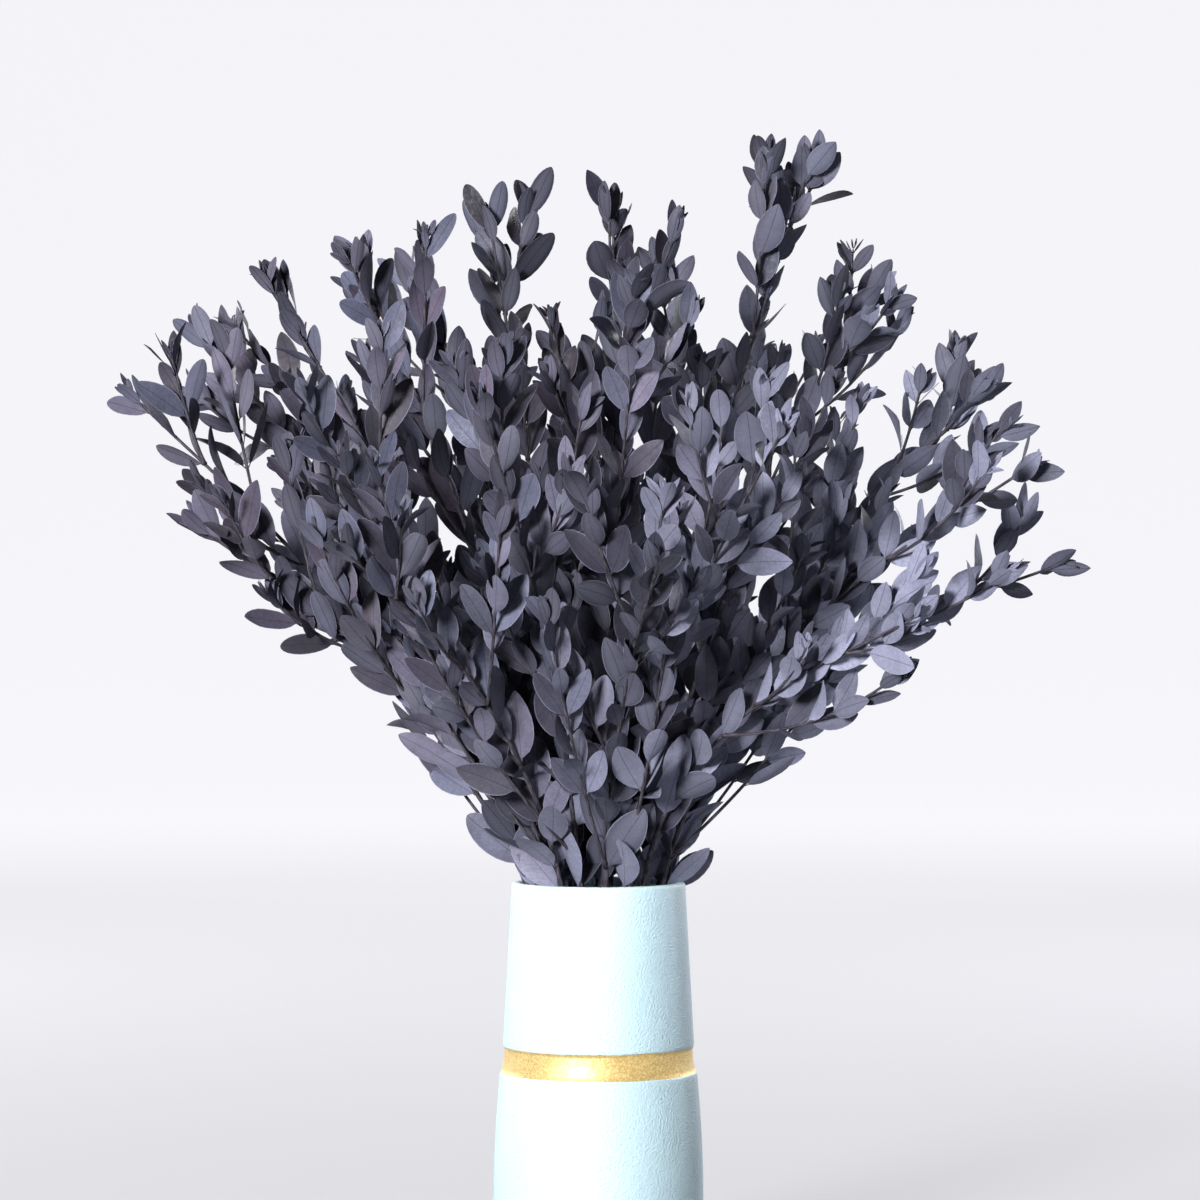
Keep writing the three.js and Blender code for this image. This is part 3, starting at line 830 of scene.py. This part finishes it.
def dress(i):
    """All the leaves and wood of stem i, as groups of tubes."""
    along, angle = stem_pair(stems[i], np.arange(STEM_PAIRS))
    places = [leafy_places(stems[i], along, angle, 1.0, drawn(*STEM_ENDING, i, 0, 92))]
    places += [twig_places(twig, i, j) for j, twig in enumerate(twigs[i])]
    shoots = [stems[i], *twigs[i]]
    keys = 100 * i + 7 * np.arange(len(shoots))
    grown = [shoot_leaves(shoot, *place, key) for shoot, place, key in zip(shoots, places, keys)]
    root, away, right = (np.concatenate([rows[k] for rows in grown]) for k in range(3))
    traits = {key: np.concatenate([rows[3][key] for rows in grown]) for key in grown[0][3]}
    joints = [place[0] for place in places]
    stem_wood = rods(shoots[:1], joints[:1], STEM_ROWS, i)
    twig_wood = rods(shoots[1:], joints[1:], TWIG_ROWS, i + 50)
    return [stem_wood, twig_wood, blades(root, away, right, traits)]


print("tubes of the first branch:", [len(group.rings) for group in dress(0)])

# %% [markdown]
# ## Nodes for the finishes
#
# Every finish is a small network of nodes. Wiring them by hand in the editor is quick, but a script that
# repeats over many pieces needs a helper: one that adds a node, fills its sockets and links what comes
# from other nodes.

# %% Helpers that add nodes
def add(tree, kind, *values, named=None, **settings):
    """A node with its settings. A value goes to the socket in its place; an output or a node is linked."""
    node = tree.nodes.new(kind)
    for key, value in settings.items():
        setattr(node, key, value)
    for key, value in {**dict(enumerate(values)), **(named or {})}.items():
        if isinstance(value, bpy.types.Node):
            value = value.outputs[0]
        if isinstance(value, bpy.types.NodeSocket):
            tree.links.new(value, node.inputs[key])
        elif value is not None:
            node.inputs[key].default_value = value
    return node


def maths(tree, operation, *values):
    return add(tree, "ShaderNodeMath", *values, operation=operation).outputs[0]


def ramped(tree, value, start, end, low=0.0, high=1.0):
    """A value that goes smoothly from low to high while its input goes from start to end."""
    given = (value, start, end, low, high)
    return add(tree, "ShaderNodeMapRange", *given, interpolation_type="SMOOTHSTEP").outputs[0]


def mixed(tree, share, a, b, blend="MIX"):
    """Two colours mixed by a share."""
    node = add(tree, "ShaderNodeMix", share, data_type="RGBA", blend_type=blend, named={6: a, 7: b})
    return node.outputs[2]


print("kinds of shader node:", sum(name.startswith("ShaderNode") for name in dir(bpy.types)))

# %% [markdown]
# ## Unevenness as one group
#
# Dye, bark, glaze and gold are all a little cloudy. That is one effect with different numbers, so it is a
# group with named sockets: it takes a colour and a place, and gives back the colour lighter or darker by
# a noise, and the noise itself as a height.

# %% The group for cloudy colour
CLOUDY_INPUTS = [("Colour", "Color"), ("Place", "Vector"), ("Size", "Float"), ("Strength", "Float")]
CLOUDY_OUTPUTS = [("Colour", "Color"), ("Height", "Float")]


def noise(tree, place, size, detail):
    """A cloudy value round a half, with size clouds per unit of place."""
    named = {"Vector": place, "Scale": size, "Detail": detail}
    return add(tree, "ShaderNodeTexNoise", named=named).outputs[0]


def make_cloudy_group():
    """Colour times 1 + Strength (2 noise - 1), with the noise at Size per unit of Place."""
    group = bpy.data.node_groups.new("cloudy colour", "ShaderNodeTree")
    for side, sockets in (("INPUT", CLOUDY_INPUTS), ("OUTPUT", CLOUDY_OUTPUTS)):
        for name, kind in sockets:
            group.interface.new_socket(name, in_out=side, socket_type=f"NodeSocket{kind}")
    given = group.nodes.new("NodeGroupInput").outputs
    clouds = noise(group, given["Place"], given["Size"], 4.0)
    swing = maths(group, "MULTIPLY_ADD", clouds, 2.0, -1.0)
    factor = maths(group, "MULTIPLY_ADD", swing, given["Strength"], 1.0)
    light = add(group, "ShaderNodeCombineColor", factor, factor, factor)
    toned = mixed(group, 1.0, given["Colour"], light.outputs[0], "MULTIPLY")
    add(group, "NodeGroupOutput", named={"Colour": toned, "Height": clouds})
    return group


cloudy_group = make_cloudy_group()


def cloudy(tree, tone, place, size, strength):
    """The group in a material: its two outputs, the colour and the height."""
    given = {"Colour": tone, "Place": place, "Size": size, "Strength": strength}
    node = add(tree, "ShaderNodeGroup", node_tree=cloudy_group, named=given)
    return node.outputs["Colour"], node.outputs["Height"]


print("cloudy colour takes", [name for name, _ in CLOUDY_INPUTS])

# %% [markdown]
# ## The dye in the bunch, with painted light and shade
#
# Glycerine-dried, dyed leaves are a dull violet-grey. Some leaves took the dye bluer, others browner or
# duller, and whole patches of the bunch lean one way. The outside of the bunch, most at its right, is
# lighter by painted light, and the leaves deep inside its middle and left are darkest by painted shade.
# One flat colour would make the bunch a silhouette. The colour is mixed from the leaf's own tone and hue,
# which the mesh carries, and from its place in the bunch.

# %% Colours of the leaves
def colour(red, green, blue):
    """A colour of a paint chart, 0 to 255, as the linear light that a shader takes: (c / 255)^2.2."""
    return tuple((channel / 255) ** 2.2 for channel in (red, green, blue)) + (1.0,)


LEAF_COOL = colour(83, 86, 105)
LEAF_WARM = colour(90, 83, 100)
LEAF_MUTED = colour(81, 79, 86)
# painted light: the lighter colour of the leaves on the outside and right of the bunch
LEAF_PAINTED_LIT = colour(129, 131, 154)
# the dark dye of some leaves and of the midrib and veins, also used as painted shade deep inside the bunch
LEAF_DARK_DYE_AND_PAINTED_SHADE = colour(32, 29, 37)
LEAF_EDGE = colour(132, 134, 156)
print("leaf colours from", np.round(LEAF_DARK_DYE_AND_PAINTED_SHADE[:3], 3), "to", np.round(LEAF_PAINTED_LIT[:3], 3))

# %% Colour by leaf and by place
CONE_TOP = 0.15  # the height in metres that the bunch's cone starts from
CONE_LEAN = -0.35  # how far the line between left and right leans, per metre of height


def painted_light_zones(tree, where):
    """Two masks by place: painted light and painted shade. Outward is the distance from the axis per height
    above the cone's start. The first mask, painted light, grows with it and towards the right, and the
    second, painted shade, grows inward and towards the left."""
    right, behind, up = add(tree, "ShaderNodeSeparateXYZ", where).outputs
    squares = maths(tree, "MULTIPLY_ADD", right, right, maths(tree, "MULTIPLY", behind, behind))
    outward = maths(tree, "DIVIDE", maths(tree, "SQRT", squares), maths(tree, "SUBTRACT", up, CONE_TOP))
    right = maths(tree, "MULTIPLY_ADD", up, CONE_LEAN, right)
    outer = ramped(tree, outward, 0.1, 0.5)
    # painted light: lighter further out from the axis and towards the right
    painted_lit = maths(tree, "MULTIPLY", outer, ramped(tree, right, -0.3, 0.02, 0.05, 1.0))
    # painted shade: darker deep inside the bunch and towards the left
    inner = ramped(tree, outward, 0.32, 0.05, 0.0, 0.75)
    return painted_lit, maths(tree, "MULTIPLY", inner, ramped(tree, right, 0.0, -0.08))


def leaf_dye_and_painted_light(tree, where, tone, hue):
    """Cool and warm grey by leaf and by patch, muted on some leaves, lighter by zone as painted light, darker
    by zone as painted shade, and dark by tone.
    """
    patch = noise(tree, where, 6.0, 1.0)
    share = maths(tree, "MULTIPLY_ADD", hue, 0.9, maths(tree, "MULTIPLY_ADD", patch, 1.6, -0.8))
    base = mixed(tree, ramped(tree, share, 0.1, 0.9), LEAF_COOL, LEAF_WARM)
    other = maths(tree, "FRACT", maths(tree, "MULTIPLY", hue, 7.3))
    base = mixed(tree, ramped(tree, other, 0.5, 1.0, 0.0, 0.7), base, LEAF_MUTED)
    painted_lit, inner = painted_light_zones(tree, where)
    # painted light: leaves on the outside and right of the bunch made lighter
    base = mixed(tree, painted_lit, base, LEAF_PAINTED_LIT)
    # painted shade: leaves deep inside the middle and left of the bunch made darker
    base = mixed(tree, inner, base, LEAF_DARK_DYE_AND_PAINTED_SHADE)
    return mixed(tree, ramped(tree, tone, 0.4, 1.0, 0.0, 0.8), base, LEAF_DARK_DYE_AND_PAINTED_SHADE)


print(f"the line between left and right is {-CONE_LEAN * 0.5:.3f} m right of the axis at half a metre up")

# %% [markdown]
# ## The leaf's skin
#
# A darker midrib runs up the middle, faint side veins leave it at a slant, and the margin is a thin
# lighter line. The underside is paler. A picture of a leaf could carry all this, but it would repeat on
# every leaf. Lines worked out from the place on the blade follow each leaf's own outline: how far across,
# how far along, and the distance from the midrib.

# %% Midrib and veins
RIB_HALF = (0.08, 0.4)  # the midrib's half width, where it starts and ends to fade
VEINS = 15.0
VEIN_SLANT = -3.2


def leaf_lines(tree, across, along, aside):
    """The midrib and the veins as one mask: VEINS lines along the blade, slanted by the distance across."""
    rib = ramped(tree, maths(tree, "ABSOLUTE", aside), *RIB_HALF, 1.0, 0.0)
    slant = maths(tree, "MULTIPLY_ADD", along, VEINS, maths(tree, "MULTIPLY", across, VEIN_SLANT))
    line = maths(tree, "ABSOLUTE", maths(tree, "SUBTRACT", maths(tree, "FRACT", slant), 0.5))
    vein = ramped(tree, line, 0.0, 0.12, 1.0, 0.0)
    return maths(tree, "MAXIMUM", maths(tree, "MULTIPLY", rib, 0.5), maths(tree, "MULTIPLY", vein, 0.16))


print(f"{VEINS:.0f} side veins between the foot of a leaf and its tip")

# %% The leaf's material
LEAF_SPECKS = [(420.0, 0.32), (75.0, 0.35), (1500.0, 0.35)]  # sizes and strengths of the dye's clouds


def new_material(name):
    """An empty material: its tree and its shader."""
    material = bpy.data.materials.new(name)
    material.use_nodes = True
    tree = material.node_tree
    return material, tree, tree.nodes["Principled BSDF"]


def wire(tree, shader, outputs):
    """Links outputs to the shader's sockets of these names."""
    for name, output in outputs.items():
        tree.links.new(output, shader.inputs[name])


def bumped(tree, strength, distance, height):
    """The normal of a surface that a height of 1 lifts by distance."""
    named = {"Strength": strength, "Distance": distance, "Height": height}
    return add(tree, "ShaderNodeBump", named=named).outputs[0]


def make_leaf_material():
    """The dye with its painted light and shade and its clouds, then underside, margin, midrib and veins."""
    material, tree, shader = new_material("dyed dried leaf with painted light")
    place = add(tree, "ShaderNodeAttribute", attribute_name="place").outputs["Vector"]
    tint = add(tree, "ShaderNodeAttribute", attribute_name="tint").outputs["Vector"]
    across, along, aside = add(tree, "ShaderNodeSeparateXYZ", place).outputs
    tone, hue, layer = add(tree, "ShaderNodeSeparateXYZ", tint).outputs
    where = add(tree, "ShaderNodeTexCoord").outputs["Object"]

    base = leaf_dye_and_painted_light(tree, where, tone, hue)
    heights = []
    for size, strength in LEAF_SPECKS:
        base, height = cloudy(tree, base, where, size, strength)
        heights.append(height)
    mottle = heights[0]
    base = mixed(tree, ramped(tree, layer, 0.2, -0.6, 0.0, 0.25), base, LEAF_EDGE)
    out = maths(tree, "ABSOLUTE", across)
    base = mixed(tree, ramped(tree, out, 0.9, 0.98, 0.0, 0.5), base, LEAF_EDGE)
    mark = leaf_lines(tree, out, along, aside)
    base = mixed(tree, mark, base, LEAF_DARK_DYE_AND_PAINTED_SHADE)

    relief = maths(tree, "MULTIPLY_ADD", mottle, 0.5, maths(tree, "MULTIPLY", mark, -0.8))
    normal = bumped(tree, 0.5, 0.0004, relief)
    rough = ramped(tree, mottle, 0.3, 0.7, 0.58, 0.42)
    shader.inputs["Specular IOR Level"].default_value = 0.12
    wire(tree, shader, {"Base Color": base, "Roughness": rough, "Normal": normal})
    return material


leaf_material = make_leaf_material()
print("leaf material:", len(leaf_material.node_tree.nodes), "nodes")

# %% [markdown]
# ## Bark
#
# The wood took the dye too, and dried to a dark grey-brown with fine ridges along it. The mesh carries
# the place on the rod in millimetres, so a noise that is stretched along it gives the fibre. A wave
# texture would draw the ridges too evenly.

# %% The bark's material
BARK = colour(84, 80, 90)
BARK_DARK = colour(36, 33, 40)
FIBRE = (1.0, 1.0, 0.1)


def make_bark_material():
    """Dark grey-brown with a noise stretched tenfold along the rod, as colour and as ridges."""
    material, tree, shader = new_material("dyed bark")
    place = add(tree, "ShaderNodeAttribute", attribute_name="place").outputs["Vector"]
    drawn_out = add(tree, "ShaderNodeMapping", place, named={"Scale": FIBRE})
    fibre = noise(tree, drawn_out, 1.6, 5.0)
    base = mixed(tree, ramped(tree, fibre, 0.35, 0.68), BARK_DARK, BARK)
    base, _ = cloudy(tree, base, place, 0.12, 0.3)
    rough = ramped(tree, fibre, 0.3, 0.7, 0.8, 0.6)
    shader.inputs["Specular IOR Level"].default_value = 0.25
    wire(tree, shader, {"Base Color": base, "Roughness": rough, "Normal": bumped(tree, 0.7, 0.0004, fibre)})
    return material


bark_material = make_bark_material()
print("bark material:", len(bark_material.node_tree.nodes), "nodes")

# %% [markdown]
# ## The branches in place
#
# Each branch is one piece of wood with its leaves, so it becomes one mesh with two materials. Copies of
# one branch would be lighter, but the eye finds a repeat at once. It stands for the branch of the same
# number in the model.

# %% Make the branches
leaf_count = 0
for i, node in enumerate(stem_nodes):
    groups = dress(i)
    branch = new_piece(f"eucalyptus_stem_{i + 1:02d}", groups, [leaf_material, bark_material])
    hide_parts(node)
    leaf_count += len(groups[-1].rings)
triangles = sum(len(p.vertices) - 2 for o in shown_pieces() if o.name.startswith("euc") for p in o.data.polygons)
print(f"{leaf_count} leaves, {triangles} triangles on the branches")

# %% [markdown]
# ## The vase
#
# The vase was turned on a wheel or cast from a turned form: a straight wall that widens downwards, a
# shallow groove with a small lip under it, and a fuller lower body. The outline of one half, carried
# round the axis, is the whole shape. A screw modifier would do, but an outline with a rounding for each
# corner says more in fewer points.

# %% A rounded outline, carried round the axis
CORNER_STEPS = 7
VASE_SIDES = 160
GLAZE_SLOT = 0


def rounded(corners):
    """An outline of radius, height and cut. Each corner is cut that far before and after it and bridged by a
    curve that is drawn to the corner. The first and the last point have no cut."""
    corners = np.asarray(corners, float)
    corners, cuts = corners[:, :2], corners[1:-1, 2:]
    middle = corners[1:-1]
    before = middle + unit(corners[:-2] - middle) * cuts
    after = middle + unit(corners[2:] - middle) * cuts
    t = np.linspace(0, 1, CORNER_STEPS)[:, None]
    arcs = (1 - t) ** 2 * before[:, None] + 2 * t * (1 - t) * middle[:, None] + t**2 * after[:, None]
    return np.concatenate([corners[:1], arcs.reshape(-1, 2), corners[-1:]])


def round_axis(outline, sides):
    """One ring for each point of the outline: (radius cos a, radius sin a, height) at equal angles a."""
    angle = 2 * np.pi * np.arange(sides) / sides
    radius, height = outline[:, :1], outline[:, 1:]
    return np.stack([radius * np.cos(angle), radius * np.sin(angle), height + 0 * angle], axis=-1)


def turned(outline, sides):
    """The outline carried round the axis as one closed tube; its first and last points are the poles."""
    rings = round_axis(outline[1:-1], sides)[None]
    poles = np.array([[[0, 0, outline[0, 1]], [0, 0, outline[-1, 1]]]])
    points = np.concatenate([rings.reshape(1, -1, 3), poles], axis=1)
    return Tubes(rings, poles, points, np.zeros_like(points), np.zeros(points.shape[1], bool), GLAZE_SLOT)


square = rounded([(0, 0, 0), (10, 0, 1), (10, 10, 1), (0, 10, 0)])
print("two rounded corners take", len(square), "points")

# %% The vase's own outline
RIM_RADIUS = 56.4
TAPER = 0.055
WALL = 6
BAND_TOP = 107
BAND_BOTTOM = 124
GROOVE = 1.15  # depth
LIP = 1.0  # how far the lip under the groove stands out
BELLY_DROP = 196  # where the lower body is widest
BELLY_POINTS = 24


def wall_radius(drop):
    """Outside, at a distance below the rim."""
    return RIM_RADIUS + TAPER * drop


def height(drop):
    return VASE_HEIGHT - drop


def vase_outline():
    """Radius and height from the middle of the foot, up the outside, over the rim and down the inside."""
    foot = [(0, 0, 0), (56, 0, 1), (65.0, 1.2, 3)]
    lip = np.array([wall_radius(BAND_BOTTOM) + LIP, height(BAND_BOTTOM)])
    belly = curve_by_pull(np.array([66.5, 10.0]), np.array([71.0, height(BELLY_DROP)]), lip)
    belly = np.column_stack([belly(np.linspace(0.02, 0.97, BELLY_POINTS)), np.full(BELLY_POINTS, 0.8)])
    band = [
        (wall_radius(BAND_BOTTOM) + LIP, height(BAND_BOTTOM + 0.6), 0.9),
        (wall_radius(BAND_BOTTOM) - 0.5, height(BAND_BOTTOM - 2.6), 1.4),
        (wall_radius(BAND_TOP + 8) - GROOVE, height(BAND_TOP + 8), 2.5),
        (wall_radius(BAND_TOP) - GROOVE, height(BAND_TOP + 1.6), 0.9),
        (wall_radius(BAND_TOP), height(BAND_TOP - 1.0), 1.6),
    ]
    rim = [
        (wall_radius(20), height(20), 5),
        (wall_radius(0), height(0), 2.6),
        (wall_radius(0) - WALL, height(0), 2.6),
        (wall_radius(20) - WALL, height(20), 5),
    ]
    upper_inside = [(wall_radius(BAND_TOP) - WALL, height(BAND_TOP), 5), (62, height(BELLY_DROP), 6)]
    floor = [(54, 17, 3), (47, 7, 3), (0, 7, 0)]
    return rounded([*foot, *belly, *band, *rim, *upper_inside, *floor])


print("widest radius of the vase:", round(vase_outline()[:, 0].max(), 1), "mm")

# %% [markdown]
# ## Glaze and gold
#
# The glaze is a pale sky blue with the fine orange-peel surface of a sprayed coat, and a touch greener
# where it thins over the rim. The gold is a granular paint in the groove, brushed on by hand, so its
# edges waver a little. A second, thin object could be the paint, but it lies on the glaze as a film. So
# both are one material, and a mask on the height says where the gold is.

# %% The vase's material
GLAZE = (0.55, 0.75, 0.84, 1.0)
GLAZE_RIM = (0.60, 0.79, 0.78, 1.0)
GOLD = (0.77, 0.58, 0.26, 1.0)
GOLD_DARK = (0.56, 0.39, 0.13, 1.0)
GOLD_TOP = VASE_HEIGHT - BAND_TOP + 0.2
GOLD_BOTTOM = VASE_HEIGHT - BAND_BOTTOM + 0.4
GOLD_EDGE = 0.15  # half the width over which paint gives way to glaze
WAVER = 1.6
FLAKES = 1150.0  # per metre
METALLIC = 0.6
ROUGHNESS = (0.3, 0.48)  # of the glaze and of the gold


def between(tree, share, a, b):
    """Two values mixed by a share."""
    return add(tree, "ShaderNodeMix", share, None, a, b, data_type="FLOAT").outputs[0]


def painted_band(tree, where, up):
    """A mask that is 1 in the gold: between two heights in millimetres, moved up and down by a noise."""
    level = maths(tree, "MULTIPLY_ADD", up, 1 / MM, -WAVER / 2)
    line = maths(tree, "MULTIPLY_ADD", noise(tree, where, 45.0, 3.0), WAVER, level)
    under = ramped(tree, line, GOLD_TOP - GOLD_EDGE, GOLD_TOP + GOLD_EDGE, 1.0, 0.0)
    over = ramped(tree, line, GOLD_BOTTOM - GOLD_EDGE, GOLD_BOTTOM + GOLD_EDGE)
    return maths(tree, "MULTIPLY", under, over)


def make_vase_material():
    """Glaze with a peel, and gold with flakes of many shades where the band is painted."""
    material, tree, shader = new_material("glaze with gold paint")
    where = add(tree, "ShaderNodeTexCoord").outputs["Object"]
    up = add(tree, "ShaderNodeSeparateXYZ", where).outputs[2]
    painted = painted_band(tree, where, up)
    thin = ramped(tree, up, (VASE_HEIGHT - 3) * MM, VASE_HEIGHT * MM)
    glaze = mixed(tree, thin, GLAZE, GLAZE_RIM)
    glaze, _ = cloudy(tree, glaze, where, 14.0, 0.05)
    glaze, peel = cloudy(tree, glaze, where, 760.0, 0.06)

    flakes = add(tree, "ShaderNodeTexVoronoi", named={"Vector": where, "Scale": FLAKES})
    glint = add(tree, "ShaderNodeSeparateColor", flakes.outputs["Color"]).outputs[0]
    gold = mixed(tree, ramped(tree, glint, 0.1, 0.9), GOLD_DARK, GOLD)
    gold, _ = cloudy(tree, gold, where, 60.0, 0.12)

    skin = maths(tree, "MULTIPLY", peel, 2.0)
    grain = maths(tree, "MULTIPLY_ADD", glint, 0.6, 0.3)
    normal = bumped(tree, 0.7, 0.0007, between(tree, painted, skin, grain))
    base = mixed(tree, painted, glaze, gold)
    metal = maths(tree, "MULTIPLY", painted, METALLIC)
    rough = between(tree, painted, *ROUGHNESS)
    wire(tree, shader, {"Base Color": base, "Metallic": metal, "Roughness": rough, "Normal": normal})
    return material


vase = new_piece("glazed_vase", [turned(vase_outline(), VASE_SIDES)], [make_vase_material()])
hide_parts("vase")
print("vase:", len(vase.data.polygons), "faces")

# %% [markdown]
# ## The studio's ground
#
# A pale floor that curves up into a wall all round gives the seamless ground of a product photograph,
# from every side. A plane would end in a horizon. The paper glows a little more the further off it is, so
# it stays white behind the object without a lamp of its own, and it is hidden from diffuse light, or its
# glow would wash out the dark leaves.

# %% A floor that becomes a wall
STAGE_RADIUS = 9000.0
STAGE_CURVE = 3500.0
STAGE_WALL = 9000.0
STAGE_SIDES = 96
FLOOR_RINGS = (400.0, 1500.0, 3500.0)
CURVE_RINGS = 25
PAPER = (0.13, 0.13, 0.134, 1.0)
PAPER_GLOW = (0.96, 0.955, 1.0, 1.0)
GLOW_NEAR, GLOW_FAR = 0.5, 0.91
GLOW_REACH = 6.0  # metres over which the one becomes the other


def stage_outline():
    """A disc that turns up through a quarter circle into a wall, as points of radius and height."""
    turn = np.linspace(0, np.pi / 2, CURVE_RINGS)
    middle = STAGE_RADIUS - STAGE_CURVE
    curve = np.stack([middle + STAGE_CURVE * np.sin(turn), STAGE_CURVE * (1 - np.cos(turn))], axis=-1)
    return np.concatenate([[(radius, 0.0) for radius in FLOOR_RINGS], curve, [(STAGE_RADIUS, STAGE_WALL)]])


def make_paper_material():
    """Pale paper, faintly cloudy, whose glow grows with the distance from the object."""
    material, tree, shader = new_material("pale paper")
    where = add(tree, "ShaderNodeTexCoord").outputs["Object"]
    far = add(tree, "ShaderNodeVectorMath", where, operation="LENGTH").outputs["Value"]
    paper, _ = cloudy(tree, PAPER, where, 0.6, 0.02)
    glow = ramped(tree, far, 0.0, GLOW_REACH, GLOW_NEAR, GLOW_FAR)
    shader.inputs["Roughness"].default_value = 0.9
    shader.inputs["Emission Color"].default_value = PAPER_GLOW
    wire(tree, shader, {"Base Color": paper, "Emission Strength": glow})
    return material


def make_stage():
    """The disc and wall as one sheet that faces inward: the rings' faces turned over, and a fan inside."""
    outline = stage_outline()
    rings = round_axis(outline, STAGE_SIDES).reshape(-1, 3)
    quads = ring_faces(len(outline), STAGE_SIDES)[..., ::-1].reshape(-1, 4)
    k = np.arange(STAGE_SIDES)
    fan = np.stack([np.full(STAGE_SIDES, len(rings)), k, (k + 1) % STAGE_SIDES], axis=-1)
    mesh = bpy.data.meshes.new("studio_ground")
    mesh.from_pydata((np.vstack([rings, [0, 0, 0]]) * MM).tolist(), [], quads.tolist() + fan.tolist())
    mesh.shade_smooth()
    mesh.materials.append(make_paper_material())
    ground = bpy.data.objects.new("studio_ground", mesh)
    bpy.context.scene.collection.objects.link(ground)
    ground.visible_diffuse = False
    ground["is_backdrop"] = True
    return ground


ground = make_stage()
print("ground:", len(ground.data.polygons), "faces")

# %% [markdown]
# ## The lights
#
# The vase's highlight and the leaves' shadows show where the light came from: one soft key light at the
# front left and above. A weak bluish fill comes from the right, and a soft spot lifts the lower right of
# the bunch. Two large lights stand behind, so that the object can also be looked at from its sides and
# its back, and a small one at the left lifts the vase's edge. All but the spot are area lights, since
# leaves under a bare point of light would throw hard shadows.

# %% Lamps and where they aim
AREA_LIGHTS = {  # place, target, size, power, tone, spread in degrees, and whether glossy surfaces reflect it
    "key_light": ((-1.3, -2.7, 1.1), (0, 0, 0.4), 0.7, 185, (1.0, 0.99, 0.97), 180, True),
    "right_fill": ((1.7, -1.9, 0.5), (0, 0, 0.35), 0.6, 7, (0.85, 0.92, 1.0), 180, False),
    "back_light": ((1.9, 2.2, 1.4), (0, 0, 0.4), 1.4, 68, (0.94, 0.96, 1.0), 180, True),
    "left_light": ((-1.9, 2.3, 1.4), (0, 0, 0.4), 1.4, 65, (0.96, 0.97, 1.0), 180, True),
    "left_card": ((-1.6, -0.7, 0.2), (0, 0, 0.17), 0.5, 0.2, (1.0, 0.98, 0.97), 32, False),
}
SPOT_CONE = 8
SPOT_SIZE = 0.2


def new_lamp(name, kind, place, target, power, tone, reflected):
    """A light that is aimed from its place at a target and isn't seen itself."""
    light = bpy.data.lights.new(name, kind)
    light.energy = power
    light.color = tone
    lamp = bpy.data.objects.new(name, light)
    bpy.context.scene.collection.objects.link(lamp)
    lamp.location = place
    lamp.rotation_euler = (Vector(target) - Vector(place)).to_track_quat("-Z", "Y").to_euler()
    lamp.visible_camera = False
    lamp.visible_glossy = reflected
    return light


spot = new_lamp("right_spot", "SPOT", (1.2, -2.3, 0.3), (0.15, -0.05, 0.37), 150, (0.97, 0.97, 1.0), False)
spot.spot_size = np.radians(SPOT_CONE)
spot.spot_blend = 1.0
spot.shadow_soft_size = SPOT_SIZE
for name, (place, target, size, power, tone, spread, reflected) in AREA_LIGHTS.items():
    light = new_lamp(name, "AREA", place, target, power, tone, reflected)
    light.shape = "DISK"
    light.size = size
    light.spread = np.radians(spread)
print("lights:", ", ".join(light.name for light in bpy.data.lights))

# %% [markdown]
# ## The air and the view
#
# The world gives only a breath of light, because a bright one would flatten the bunch from all sides. The
# view is the plain one, so that a colour in a material comes out as that colour.

# %% World and view
AIR = (0.93, 0.93, 1.0, 1.0)
AIR_STRENGTH = 0.012
world = bpy.data.worlds.new("studio air")
bpy.context.scene.world = world
world.use_nodes = True
world.node_tree.nodes["Background"].inputs["Color"].default_value = AIR
world.node_tree.nodes["Background"].inputs["Strength"].default_value = AIR_STRENGTH
bpy.context.scene.view_settings.view_transform = "Standard"
print("world:", world.name)

# %% [markdown]
# ## The camera
#
# The picture is taken from far off with a long lens, as the photograph seems to have been, so nothing is
# stretched. Its horizon lies a little above the picture's middle, which gives the camera's height, and
# the vase stands a hair left of the middle. A short lens close by would make the front leaves large and
# the vase taper.

# %% Set the camera
CAMERA_DISTANCE = 3.25
CAMERA_HEIGHT = 0.479
PITCH = 0.596
LENS = 150
SENSOR = 36
SHIFT = 0.00125
camera = bpy.data.objects.new("camera", bpy.data.cameras.new("camera"))
bpy.context.scene.collection.objects.link(camera)
camera.data.lens = LENS
camera.data.sensor_width = SENSOR
camera.data.shift_x = SHIFT
camera.location = (0, -CAMERA_DISTANCE, CAMERA_HEIGHT)
camera.rotation_euler = (np.radians(90 - PITCH), 0, 0)
bpy.context.scene.camera = camera
print(f"the picture is {CAMERA_DISTANCE * SENSOR / LENS:.2f} m wide at the vase")
